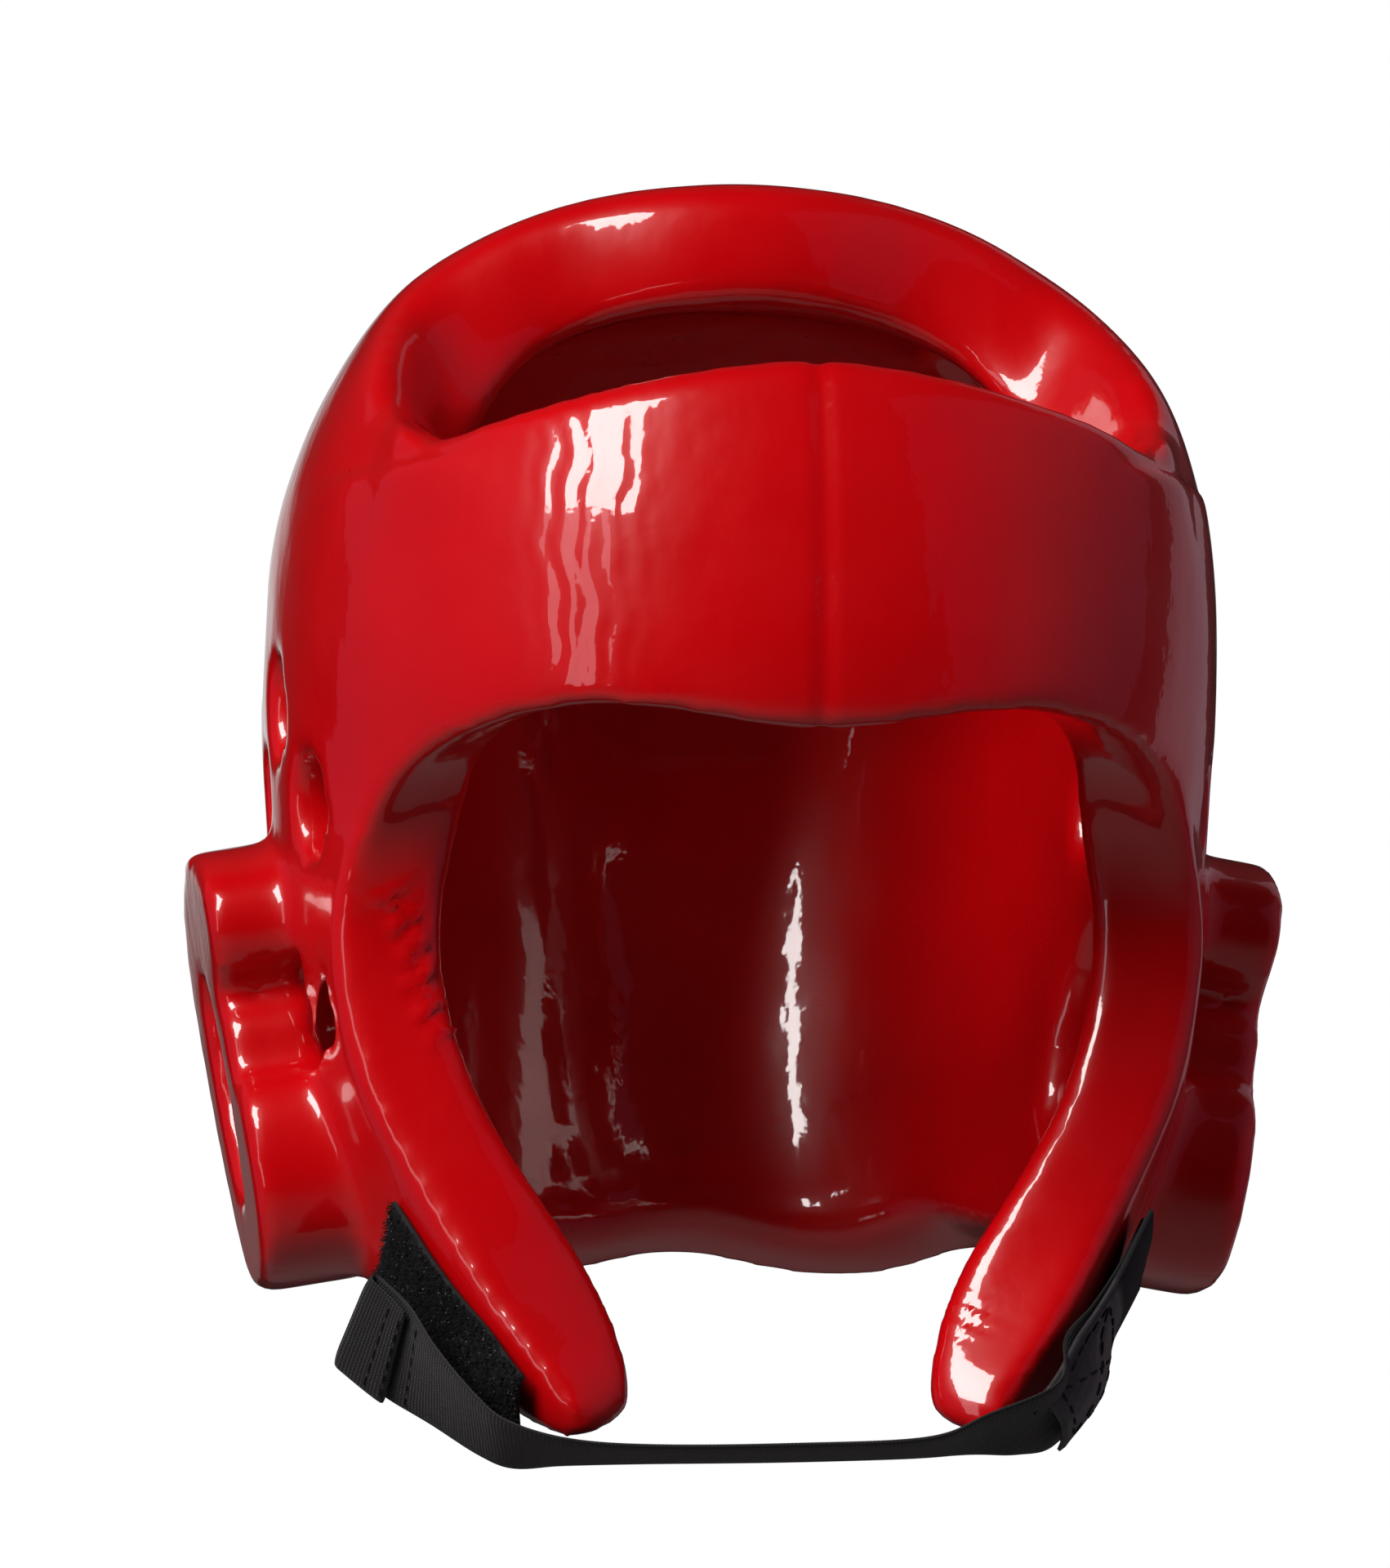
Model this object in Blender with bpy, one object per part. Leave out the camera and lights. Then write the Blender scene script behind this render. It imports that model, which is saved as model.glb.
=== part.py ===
"""A dipped foam head guard: one moulded body, two ear guards, a loop patch, a chin strap and its tab.

Metres, +Z up, the face looks toward -Y and the origin is inside the top of the crown."""
import bpy
import bmesh
import math
from collections import namedtuple
from mathutils import Vector

# Sizes of the moulded body
SHELL_HALF_WIDTH = 0.0946
FRONT_REACH = 0.1195
BACK_REACH = 0.119
CROWN_RISE = 0.0855
CHIN_DROP = 0.169
FOAM = 0.0215
AXIS_LEVEL = FOAM - CROWN_RISE
ROUNDNESS = 2.3
EDGE_SOFTNESS = 0.35
PANEL_COLUMNS = 4
TOP_COLUMNS = 4

# Sizes of the openings
EAR_OPENING_FORE = 0.025
EAR_OPENING_HEIGHT = 0.026
EAR_CENTRE_FORE = -0.050
EAR_CENTRE_DROP = 0.515
VENT_WIDTH = 0.0155
VENT_HEIGHT = 0.0185
SLOT_WIDTH = 0.019
SLOT_LENGTH = 0.034
RIM_FLARE = 1.28

# Sizes of the ear guards
GUARD_HEIGHT = 0.088
GUARD_DEPTH = 0.062
GUARD_RISE = 0.0130
GUARD_TILT = math.radians(9.5)
GUARD_EDGE_SOFTNESS = 0.75
GUARD_SLOT_WIDTH = 0.021
GUARD_SLOT_HEIGHT = 0.045
GUARD_CENTRE_FORE = 0.025
GUARD_CENTRE_DROP = 0.527

# Sizes of the strap parts
STRAP_WIDTH = 0.027
STRAP_THICK = 0.0016
HEM_THICKNESS = 1.9
TAB_THICK = 0.0014
PATCH_THICK = 0.0018
GAP = 0.0004

# Colours
SKIN_RED = (0.56, 0.004, 0.008, 1.0)
WEBBING_BLACK = (0.018, 0.018, 0.020, 1.0)
FLEECE_BLACK = (0.010, 0.010, 0.011, 1.0)
TAB_BLACK = (0.026, 0.026, 0.029, 1.0)

# Profile of the body in the middle plane, as shares of the reaches and of the rise or drop
ProfileRow = namedtuple("ProfileRow", "fore height")
PROFILE = (
    ProfileRow(-1.000, 0.000),
    ProfileRow(-0.987, 0.245),
    ProfileRow(-0.940, 0.455),
    ProfileRow(-0.807, 0.700),
    ProfileRow(-0.555, 0.900),
    ProfileRow(-0.252, 0.992),
    ProfileRow(0.000, 1.000),
    ProfileRow(0.254, 0.955),
    ProfileRow(0.508, 0.832),
    ProfileRow(0.746, 0.585),
    ProfileRow(0.915, 0.255),
    ProfileRow(0.992, -0.060),
    ProfileRow(0.983, -0.262),
    ProfileRow(0.898, -0.464),
    ProfileRow(0.788, -0.643),
    ProfileRow(0.712, -0.821),
    ProfileRow(0.525, -1.012),
    ProfileRow(0.254, -1.155),
    ProfileRow(-0.042, -1.214),
    ProfileRow(-0.289, -1.160),
    ProfileRow(-0.507, -1.103),
    ProfileRow(-0.600, -1.105),
    ProfileRow(-0.654, -1.038),
    ProfileRow(-0.665, -0.923),
    ProfileRow(-0.682, -0.835),
    ProfileRow(-0.702, -0.764),
    ProfileRow(-0.750, -0.648),
    ProfileRow(-0.780, -0.486),
    ProfileRow(-0.817, -0.344),
    ProfileRow(-0.908, -0.273),
    ProfileRow(-0.977, -0.218),
    ProfileRow(-1.001, -0.125),
)

# Rows of the skin round each ear: where the side panel ends and where the row meets the middle plane
RimRow = namedtuple("RimRow", "zone fore height mid_fore mid_height bow")
RIM_ROWS = (
    RimRow("face", -0.556, -1.006, 0.0, 0.0, 0.0),
    RimRow("face", -0.606, -0.953, 0.0, 0.0, 0.0),
    RimRow("face", -0.536, -0.840, 0.0, 0.0, 0.0),
    RimRow("face", -0.477, -0.722, 0.0, 0.0, 0.0),
    RimRow("face", -0.435, -0.592, 0.0, 0.0, 0.0),
    RimRow("face", -0.414, -0.462, 0.0, 0.0, 0.0),
    RimRow("face", -0.427, -0.343, 0.0, 0.0, 0.0),
    RimRow("brow", -0.546, -0.229, -1.000, -0.219, 9.5),
    RimRow("band", -0.538, -0.143, -1.008, -0.113, 3.0),
    RimRow("band", -0.555, -0.048, -1.004, -0.012, 0.0),
    RimRow("band", -0.588, 0.097, -0.987, 0.218, -1.0),
    RimRow("band_top", -0.647, 0.290, -0.938, 0.478, -1.4),
    RimRow("arch", -0.521, 0.440, -0.252, 0.992, 13.0),
    RimRow("dome", -0.335, 0.619, -0.073, 1.007, 0.0),
    RimRow("dome", -0.151, 0.672, 0.099, 1.006, 0.0),
    RimRow("dome", 0.017, 0.682, 0.287, 0.968, 0.0),
    RimRow("dome", 0.186, 0.661, 0.481, 0.880, 0.0),
    RimRow("dome", 0.361, 0.573, 0.676, 0.703, 0.0),
    RimRow("dome", 0.512, 0.406, 0.844, 0.440, 0.0),
    RimRow("dome", 0.630, 0.159, 0.959, 0.096, 0.0),
    RimRow("dome", 0.678, -0.076, 0.997, -0.162, 0.0),
    RimRow("dome", 0.668, -0.250, 0.954, -0.330, 0.0),
    RimRow("dome", 0.640, -0.410, 0.890, -0.480, 0.0),
    RimRow("dome", 0.600, -0.560, 0.825, -0.610, 0.0),
    RimRow("nape", 0.545, -0.728, 0.763, -0.732, 0.0),
    RimRow("under", 0.353, -0.751, 0.0, 0.0, 0.0),
    RimRow("under", 0.126, -0.769, 0.0, 0.0, 0.0),
    RimRow("under", -0.067, -0.787, 0.0, 0.0, 0.0),
    RimRow("under", -0.226, -0.817, 0.0, 0.0, 0.0),
    RimRow("under", -0.385, -0.917, 0.0, 0.0, 0.0),
)

# Vents on each temple, as shares of the reaches and of the rise or drop
VentRow = namedtuple("VentRow", "fore height")
VENTS = (
    VentRow(0.160, -0.020),
    VentRow(-0.110, -0.125),
    VentRow(0.075, -0.225),
    VentRow(-0.290, -0.250),
)

# Outline and slot of an ear guard, as shares of its depth and height from its centre
GuardRow = namedtuple("GuardRow", "fore height")
GUARD_OUTLINE = (
    GuardRow(-0.300, 0.430),
    GuardRow(-0.100, 0.490),
    GuardRow(0.140, 0.500),
    GuardRow(0.360, 0.450),
    GuardRow(0.540, 0.340),
    GuardRow(0.590, 0.190),
    GuardRow(0.570, 0.030),
    GuardRow(0.530, -0.120),
    GuardRow(0.420, -0.270),
    GuardRow(0.330, -0.410),
    GuardRow(0.150, -0.490),
    GuardRow(-0.080, -0.500),
    GuardRow(-0.320, -0.475),
    GuardRow(-0.470, -0.400),
    GuardRow(-0.530, -0.270),
    GuardRow(-0.520, -0.130),
    GuardRow(-0.440, -0.045),
    GuardRow(-0.310, -0.025),
    GuardRow(-0.330, 0.035),
    GuardRow(-0.310, 0.100),
    GuardRow(-0.200, 0.155),
    GuardRow(-0.340, 0.200),
    GuardRow(-0.410, 0.290),
    GuardRow(-0.390, 0.380),
)
GUARD_SLOT_FORE = 0.090
GUARD_SLOT_HEIGHT_SHARE = -0.040
GUARD_SLOT_LEAN = 0.16

# Path of the strap after it leaves the tab: side, fore and drop as shares, then the way its face looks
StrapRow = namedtuple("StrapRow", "side fore drop face_side face_fore face_up")
STRAP_PATH = (
    StrapRow(0.400, -0.553, -0.979, 0.22, -0.05, -0.97),
    StrapRow(0.270, -0.560, -0.997, 0.06, 0.00, -1.00),
    StrapRow(0.000, -0.563, -1.002, 0.00, 0.00, -1.00),
    StrapRow(-0.270, -0.563, -1.004, -0.02, 0.00, -1.00),
    StrapRow(-0.442, -0.561, -1.003, -0.12, 0.00, -0.99),
    StrapRow(-0.558, -0.544, -0.997, -0.28, 0.00, -0.96),
    StrapRow(-0.621, -0.519, -0.974, -0.55, 0.00, -0.84),
    StrapRow(-0.705, -0.469, -0.923, -0.70, -0.04, -0.70),
    StrapRow(-0.768, -0.402, -0.876, -0.76, -0.20, -0.60),
    StrapRow(-0.834, -0.351, -0.839, -0.79, -0.34, -0.50),
)

# Places on the skin under the fixed end of the strap
AnchorRow = namedtuple("AnchorRow", "fore drop")
ANCHOR_PATH = (
    AnchorRow(-0.330, -0.760),
    AnchorRow(-0.385, -0.815),
    AnchorRow(-0.440, -0.868),
    AnchorRow(-0.492, -0.918),
    AnchorRow(-0.527, -0.945),
)

# Corners of the tab on the cheek, from the front of its top, as shares
TAB_CORNERS = (
    AnchorRow(-0.400, -0.705),
    AnchorRow(-0.590, -0.925),
    AnchorRow(-0.460, -0.975),
    AnchorRow(-0.270, -0.790),
)

# Corners of the loop patch on the cheek, from the front of its top, as shares
PATCH_CORNERS = (
    AnchorRow(-0.400, -0.705),
    AnchorRow(-0.560, -0.915),
    AnchorRow(-0.440, -0.955),
    AnchorRow(-0.215, -0.800),
)


def fore_at(share):
    """Distance behind the ear axis, in front of it when negative."""
    if share < 0.0:
        return share * FRONT_REACH
    return share * BACK_REACH


def level_at(share):
    """Height for a share of the rise or of the drop."""
    if share > 0.0:
        return AXIS_LEVEL + share * CROWN_RISE
    return AXIS_LEVEL + share * CHIN_DROP


def turn_of(y, z):
    """Turn about the ear axis: 0 ahead, 90 over the top."""
    return math.degrees(math.atan2(z - AXIS_LEVEL, -y)) % 360.0


def smooth_table():
    """Turn and reach of the profile rows, in order of turn."""
    rows = []
    for row in PROFILE:
        y = fore_at(row.fore)
        z = level_at(row.height)
        rows.append((turn_of(y, z), math.hypot(y, z - AXIS_LEVEL)))
    rows.sort()
    first = rows[0]
    last = rows[-1]
    return [(last[0] - 360.0, last[1])] + rows + [(first[0] + 360.0, first[1])]


REACHES = smooth_table()


def reach_at(turn):
    """Reach of the profile at a turn, softened over a few degrees."""
    total = 0.0
    for offset in (-4.0, -2.0, 0.0, 2.0, 4.0):
        wanted = (turn + offset) % 360.0
        for low, high in zip(REACHES, REACHES[1:]):
            if low[0] <= wanted <= high[0]:
                share = (wanted - low[0]) / max(1e-9, high[0] - low[0])
                total += low[1] + (high[1] - low[1]) * share
                break
    return total / 5.0


def side_at(y, z):
    """Half width of the skin at a place in the side view."""
    share = math.hypot(y, z - AXIS_LEVEL) / reach_at(turn_of(y, z))
    share = min(share, 0.999)
    return SHELL_HALF_WIDTH * (1.0 - share ** ROUNDNESS) ** (1.0 / ROUNDNESS)


def skin_point(y, z, side):
    """Place on the skin for a place in the side view."""
    return Vector((side * side_at(y, z), y, z))


def skin_normal(y, z, side):
    """Outward direction of the skin."""
    step = 0.002
    along_y = skin_point(y + step, z, side) - skin_point(y - step, z, side)
    along_z = skin_point(y, z + step, side) - skin_point(y, z - step, side)
    normal = along_y.cross(along_z).normalized()
    if normal.x * side < 0.0:
        normal = -normal
    return normal


def material(name, colour, roughness, coat):
    """One plain surface."""
    made = bpy.data.materials.new(name)
    made.use_nodes = True
    shader = made.node_tree.nodes["Principled BSDF"]
    shader.inputs["Base Color"].default_value = colour
    shader.inputs["Roughness"].default_value = roughness
    shader.inputs["Coat Weight"].default_value = coat
    made.diffuse_color = colour
    return made


def add_object(name, verts, faces, surface):
    """A mesh object with outward faces."""
    mesh = bpy.data.meshes.new(name)
    mesh.from_pydata([tuple(v) for v in verts], [], faces)
    work = bmesh.new()
    work.from_mesh(mesh)
    bmesh.ops.recalc_face_normals(work, faces=work.faces)
    work.to_mesh(mesh)
    work.free()
    mesh.materials.append(surface)
    made = bpy.data.objects.new(name, mesh)
    bpy.context.scene.collection.objects.link(made)
    return made


# How far the front of the arch stands back, from the middle plane to its feet
SetbackRow = namedtuple("SetbackRow", "across back")
ARCH_SETBACK = (
    SetbackRow(0.0, 0.0),
    SetbackRow(0.012, 0.0010),
    SetbackRow(0.0226, 0.0042),
    SetbackRow(0.036, 0.0118),
    SetbackRow(0.050, 0.0205),
    SetbackRow(0.058, 0.0228),
    SetbackRow(0.066, 0.0185),
    SetbackRow(0.072, 0.0100),
    SetbackRow(0.078, 0.0025),
    SetbackRow(0.084, 0.0),
)


def smooth_share(value, low, high):
    """0 below low, 1 above high and an even slope between."""
    share = min(1.0, max(0.0, (value - low) / (high - low)))
    return share * share * (3.0 - 2.0 * share)


def setback_at(across):
    """Setback of the arch at a distance from the middle plane, softened over a few millimetres."""
    total = 0.0
    for shift in (-0.005, -0.0025, 0.0, 0.0025, 0.005):
        wanted = abs(across + shift)
        for low, high in zip(ARCH_SETBACK, ARCH_SETBACK[1:]):
            if low.across <= wanted < high.across:
                total += low.back + (high.back - low.back) * (wanted - low.across) / (high.across - low.across)
                break
    return total / 5.0


def set_back(place):
    """A place on the skin, moved back where it is on the front of the arch."""
    across = abs(place.x)
    across -= 0.006 * smooth_share(place.z, -0.030, 0.0) * smooth_share(across, 0.030, 0.055)
    face = -0.030 - 0.032 * (across / 0.070) ** 2
    share = smooth_share(place.z, -0.070, -0.050) * smooth_share(place.y, -0.074, -0.064)
    share *= 1.0 - smooth_share(place.y - face, 0.004, 0.050)
    return place + Vector((0.0, setback_at(across) * share, 0.0))


def row_points(row, side):
    """Places of one row, from the ear opening to the middle plane."""
    rim_y = fore_at(row.fore)
    rim_z = level_at(row.height)
    ear_y = EAR_CENTRE_FORE * FRONT_REACH
    ear_z = level_at(-EAR_CENTRE_DROP)
    away = math.atan2((rim_z - ear_z) / EAR_OPENING_HEIGHT, (rim_y - ear_y) / EAR_OPENING_FORE)
    hole_y = ear_y + EAR_OPENING_FORE * math.cos(away)
    hole_z = ear_z + EAR_OPENING_HEIGHT * math.sin(away)
    points = []
    for column in range(PANEL_COLUMNS + 1):
        share = column / PANEL_COLUMNS
        y = hole_y + (rim_y - hole_y) * share
        z = hole_z + (rim_z - hole_z) * share
        points.append(skin_point(y, z, side))
    if row.mid_fore == 0.0:
        return points
    rim_turn = turn_of(rim_y, rim_z)
    mid_turn = turn_of(fore_at(row.mid_fore), level_at(row.mid_height))
    if mid_turn - rim_turn > 180.0:
        mid_turn -= 360.0
    if rim_turn - mid_turn > 180.0:
        rim_turn -= 360.0
    rim_reach = math.hypot(rim_y, rim_z - AXIS_LEVEL) / reach_at(rim_turn)
    power = 2.0 / ROUNDNESS
    start = math.asin(min(1.0, rim_reach ** (1.0 / power)))
    for column in range(1, TOP_COLUMNS + 1):
        share = column / TOP_COLUMNS
        lean = start + (math.pi / 2.0 - start) * share
        turn = rim_turn + (mid_turn - rim_turn) * share
        turn += row.bow * math.sin(math.pi * share ** 0.8)
        reach = reach_at(turn) * math.sin(lean) ** power
        x = side * SHELL_HALF_WIDTH * max(0.0, math.cos(lean)) ** power
        y = -reach * math.cos(math.radians(turn))
        z = AXIS_LEVEL + reach * math.sin(math.radians(turn))
        points.append(Vector((x, y, z)))
    points[-1].x = 0.0
    return [set_back(point) for point in points]


def shell_sheet():
    """The outer skin of the body as one sheet with its openings left out."""
    verts = []
    faces = []
    middle = {}
    count = len(RIM_ROWS)
    for side in (-1.0, 1.0):
        index = []
        for number, row in enumerate(RIM_ROWS):
            line = []
            for column, point in enumerate(row_points(row, side)):
                if column == PANEL_COLUMNS + TOP_COLUMNS:
                    if number not in middle:
                        middle[number] = len(verts)
                        verts.append(point)
                    line.append(middle[number])
                else:
                    line.append(len(verts))
                    verts.append(point)
            index.append(line)
        for number, row in enumerate(RIM_ROWS):
            after = (number + 1) % count
            here = index[number]
            there = index[after]
            columns = min(len(here), len(there)) - 1
            if row.zone == "band_top":
                columns = PANEL_COLUMNS
            for column in range(columns):
                face = [here[column], here[column + 1], there[column + 1], there[column]]
                if side > 0.0:
                    face.reverse()
                faces.append(face)
    return verts, faces


def tube(name, rings, surface):
    """A closed solid through rings of equal count."""
    verts = []
    faces = []
    count = len(rings[0])
    for ring in rings:
        verts.extend(ring)
    for number in range(len(rings) - 1):
        for k in range(count):
            a = number * count + k
            b = number * count + (k + 1) % count
            faces.append([a, b, b + count, a + count])
    faces.append(list(range(count)))
    last = (len(rings) - 1) * count
    faces.append([last + k for k in reversed(range(count))])
    return add_object(name, verts, faces, surface)


def hole_cutter(name, centre, normal, across, along, half_across, half_along, surface):
    """A cutter whose ends flare, for a hole with soft rims."""
    rings = []
    for depth, size in ((0.007, 1.9), (0.0012, RIM_FLARE), (-0.0025, 1.06), (-0.006, 1.0),
                        (-FOAM + 0.005, 1.0), (-FOAM + 0.001, 1.12), (-FOAM - 0.006, 1.9)):
        ring = []
        for k in range(14):
            angle = 2.0 * math.pi * k / 14
            place = centre + normal * depth
            grow = (size - 1.0) * half_across
            place = place + across * (math.cos(angle) * (half_across + grow))
            place = place + along * (math.sin(angle) * (half_along + grow))
            ring.append(place)
        rings.append(ring)
    cutter = tube(name, rings, surface)
    cutter.hide_render = True
    cutter.display_type = "WIRE"
    return cutter


def cut(target, cutter):
    """Take a cutter out of a body."""
    made = target.modifiers.new("Cut " + cutter.name, "BOOLEAN")
    made.operation = "DIFFERENCE"
    made.solver = "EXACT"
    made.object = cutter


def make_shell(surface):
    """The moulded body with its vents and crown slots."""
    verts, faces = shell_sheet()
    mesh = bpy.data.meshes.new("shell")
    mesh.from_pydata([tuple(v) for v in verts], [], faces)
    mesh.materials.append(surface)
    shell = bpy.data.objects.new("shell", mesh)
    bpy.context.scene.collection.objects.link(shell)
    work = bmesh.new()
    work.from_mesh(mesh)
    bmesh.ops.recalc_face_normals(work, faces=work.faces)
    work.faces.ensure_lookup_table()
    outward = 0.0
    for face in work.faces:
        outward += face.normal.dot(face.calc_center_median() - Vector((0.0, 0.0, AXIS_LEVEL)))
    if outward < 0.0:
        bmesh.ops.reverse_faces(work, faces=work.faces)
    work.to_mesh(mesh)
    work.free()
    thick = shell.modifiers.new("Foam", "SOLIDIFY")
    thick.thickness = FOAM
    thick.offset = -1.0
    thick.use_even_offset = True
    thick.use_quality_normals = True
    thick.edge_crease_outer = EDGE_SOFTNESS
    thick.edge_crease_inner = EDGE_SOFTNESS
    soft = shell.modifiers.new("Soft", "SUBSURF")
    soft.levels = 1
    soft.render_levels = 1
    for side, word in ((-1.0, "right"), (1.0, "left")):
        for number, row in enumerate(VENTS):
            y = fore_at(row.fore)
            z = level_at(row.height)
            normal = skin_normal(y, z, side)
            across = Vector((0.0, 1.0, 0.0))
            across = (across - normal * across.dot(normal)).normalized()
            along = normal.cross(across)
            cutter = hole_cutter("vent_cutter_%s_%d" % (word, number), skin_point(y, z, side), normal,
                                 across, along, VENT_WIDTH / 2.0, VENT_HEIGHT / 2.0, surface)
            cut(shell, cutter)
        y = BACK_REACH * 0.05
        z = AXIS_LEVEL + CROWN_RISE * 0.70
        normal = skin_normal(y, z, side)
        across = Vector((0.0, 1.0, 0.0))
        across = (across - normal * across.dot(normal)).normalized()
        along = normal.cross(across)
        cutter = hole_cutter("slot_cutter_%s" % word, skin_point(y, z, side), normal,
                             across, along, SLOT_WIDTH / 2.0, SLOT_LENGTH / 2.0, surface)
        cut(shell, cutter)
    return shell


def make_guard(name, side, surface):
    """One lobed ear guard with its slot, seated on the skin."""
    centre_y = GUARD_CENTRE_FORE * BACK_REACH
    centre_z = level_at(-GUARD_CENTRE_DROP)
    outline = []
    for row in GUARD_OUTLINE:
        outline.append((centre_y + row.fore * GUARD_DEPTH, centre_z + row.height * GUARD_HEIGHT))
    slot_y = centre_y + GUARD_SLOT_FORE * GUARD_DEPTH
    slot_z = centre_z + GUARD_SLOT_HEIGHT_SHARE * GUARD_HEIGHT
    slot = []
    for y, z in outline:
        angle = math.atan2((z - slot_z) / GUARD_HEIGHT, (y - slot_y) / GUARD_DEPTH)
        rise = math.sin(angle)
        high = slot_z + GUARD_SLOT_HEIGHT / 2.0 * rise
        wide = slot_y + GUARD_SLOT_WIDTH / 2.0 * math.cos(angle)
        slot.append((wide + GUARD_SLOT_LEAN * (high - slot_z), high))
    rings = []
    middle = side_at(centre_y, centre_z) + GUARD_RISE
    for share, layer in ((0.0, 0), (1.0, 0), (1.0, 1), (1.0, 2), (0.5, 2), (0.0, 2)):
        ring = []
        for (inner_y, inner_z), (outer_y, outer_z) in zip(slot, outline):
            y = inner_y + (outer_y - inner_y) * share
            z = inner_z + (outer_z - inner_z) * share
            high = middle + math.tan(GUARD_TILT) * (z - centre_z)
            low = side_at(y, z) + GAP * 2.0
            x = high + (low - high) * layer / 2.0
            drop = math.tan(GUARD_TILT) * (x - low)
            ring.append(Vector((side * x, y, z - drop)))
        rings.append(ring)
    verts = []
    faces = []
    count = len(outline)
    for ring in rings:
        verts.extend(ring)
    for number in range(len(rings)):
        after = (number + 1) % len(rings)
        for k in range(count):
            a = number * count + k
            b = number * count + (k + 1) % count
            c = after * count + (k + 1) % count
            d = after * count + k
            faces.append([a, b, c, d])
    guard = add_object(name, verts, faces, surface)
    crease = guard.data.attributes.new("crease_edge", "FLOAT", "EDGE")
    for edge in guard.data.edges:
        ring_pair = [index // count for index in edge.vertices]
        if ring_pair[0] == ring_pair[1] and ring_pair[0] in (0, 1, 3, 5):
            crease.data[edge.index].value = GUARD_EDGE_SOFTNESS
    soft = guard.modifiers.new("Soft", "SUBSURF")
    soft.levels = 1
    soft.render_levels = 1
    return guard


def strap_lines():
    """Stations of the strap: five places across it and the way each one looks."""
    stations = []
    anchors = []
    for row in ANCHOR_PATH:
        y = fore_at(row.fore)
        z = level_at(row.drop)
        anchors.append((skin_point(y, z, 1.0), skin_normal(y, z, 1.0)))
    for row in STRAP_PATH:
        place = Vector((row.side * SHELL_HALF_WIDTH, fore_at(row.fore), level_at(row.drop)))
        anchors.append((place, Vector((row.face_side, row.face_fore, row.face_up)).normalized()))
    last = len(anchors) - 1
    for number, (place, face) in enumerate(anchors):
        way = (anchors[min(last, number + 1)][0] - anchors[max(0, number - 1)][0]).normalized()
        face = (face - way * face.dot(way)).normalized()
        across = way.cross(face)
        line = []
        for k in range(5):
            spot = place + across * ((k / 4 - 0.5) * STRAP_WIDTH)
            looks = face
            if number < len(ANCHOR_PATH):
                looks = skin_normal(spot.y, spot.z, 1.0)
                spot = skin_point(spot.y, spot.z, 1.0) + looks * (GAP * 2.5 + STRAP_THICK / 2.0)
            line.append((spot, looks))
        stations.append(line)
    return stations


def smooth_lines(stations, steps):
    """Stations of a smooth band through the given ones."""
    made = []
    last = len(stations) - 1
    for number in range(last + 1):
        picks = [stations[max(0, number - 1)], stations[number],
                 stations[min(last, number + 1)], stations[min(last, number + 2)]]
        for step in range(steps if number < last else 1):
            t = step / steps
            weights = ((-t ** 3 + 2 * t ** 2 - t) / 2, (3 * t ** 3 - 5 * t ** 2 + 2) / 2,
                       (-3 * t ** 3 + 4 * t ** 2 + t) / 2, (t ** 3 - t ** 2) / 2)
            line = []
            for k in range(5):
                spot = Vector((0.0, 0.0, 0.0))
                looks = Vector((0.0, 0.0, 0.0))
                for weight, pick in zip(weights, picks):
                    spot += pick[k][0] * weight
                    looks += pick[k][1] * weight
                line.append((spot, looks.normalized()))
            made.append(line)
    return made


def make_strap(surface):
    """The chin strap, from under the tab to its free end with the folded hem."""
    lines = smooth_lines(strap_lines(), 3)
    rings = []
    for number, line in enumerate(lines):
        thick = STRAP_THICK
        if number >= len(lines) - 3:
            thick = STRAP_THICK * HEM_THICKNESS
        inner = [spot - looks * (STRAP_THICK / 2.0) for spot, looks in line]
        outer = [spot + looks * (thick - STRAP_THICK / 2.0) for spot, looks in line]
        rings.append(inner + outer[::-1])
    return tube("chin_strap", rings, surface)


def laid_pad(name, corner_rows, side, lift, thick, surface):
    """A thin pad laid along the cheek between four corners."""
    corners = []
    for row in corner_rows:
        corners.append((fore_at(row.fore), level_at(row.drop)))
    rings = []
    for number in range(9):
        share = number / 8
        front = [corners[0][k] + (corners[1][k] - corners[0][k]) * share for k in (0, 1)]
        rear = [corners[3][k] + (corners[2][k] - corners[3][k]) * share for k in (0, 1)]
        inner = []
        outer = []
        for k in range(5):
            t = k / 4
            y = front[0] + (rear[0] - front[0]) * t
            z = front[1] + (rear[1] - front[1]) * t
            normal = skin_normal(y, z, side)
            place = skin_point(y, z, side)
            inner.append(place + normal * lift)
            outer.append(place + normal * (lift + thick))
        rings.append(inner + outer[::-1])
    return tube(name, rings, surface)


def build():
    """All the sub-parts."""
    for old in list(bpy.data.objects):
        bpy.data.objects.remove(old, do_unlink=True)
    red = material("Red dipped vinyl", SKIN_RED, 0.18, 1.0)
    webbing = material("Black webbing", WEBBING_BLACK, 0.85, 0.0)
    fleece = material("Black loop fleece", FLEECE_BLACK, 0.95, 0.0)
    vinyl = material("Black stitched vinyl", TAB_BLACK, 0.55, 0.0)
    make_shell(red)
    make_guard("ear_guard_right", -1.0, red)
    make_guard("ear_guard_left", 1.0, red)
    laid_pad("loop_patch", PATCH_CORNERS, -1.0, GAP, PATCH_THICK, fleece)
    make_strap(webbing)
    laid_pad("anchor_tab", TAB_CORNERS, 1.0, GAP * 6.0 + STRAP_THICK, TAB_THICK, vinyl)


build()
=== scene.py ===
"""Looks of a dipped-foam head guard: the moulded red body, its chin strap and the fastenings on the cheeks.

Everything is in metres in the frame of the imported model, +Z up, the face toward -Y."""

import math
import random

import bmesh
import bpy
import numpy as np
from mathutils import Matrix, Vector
from mathutils.bvhtree import BVHTree


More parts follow.
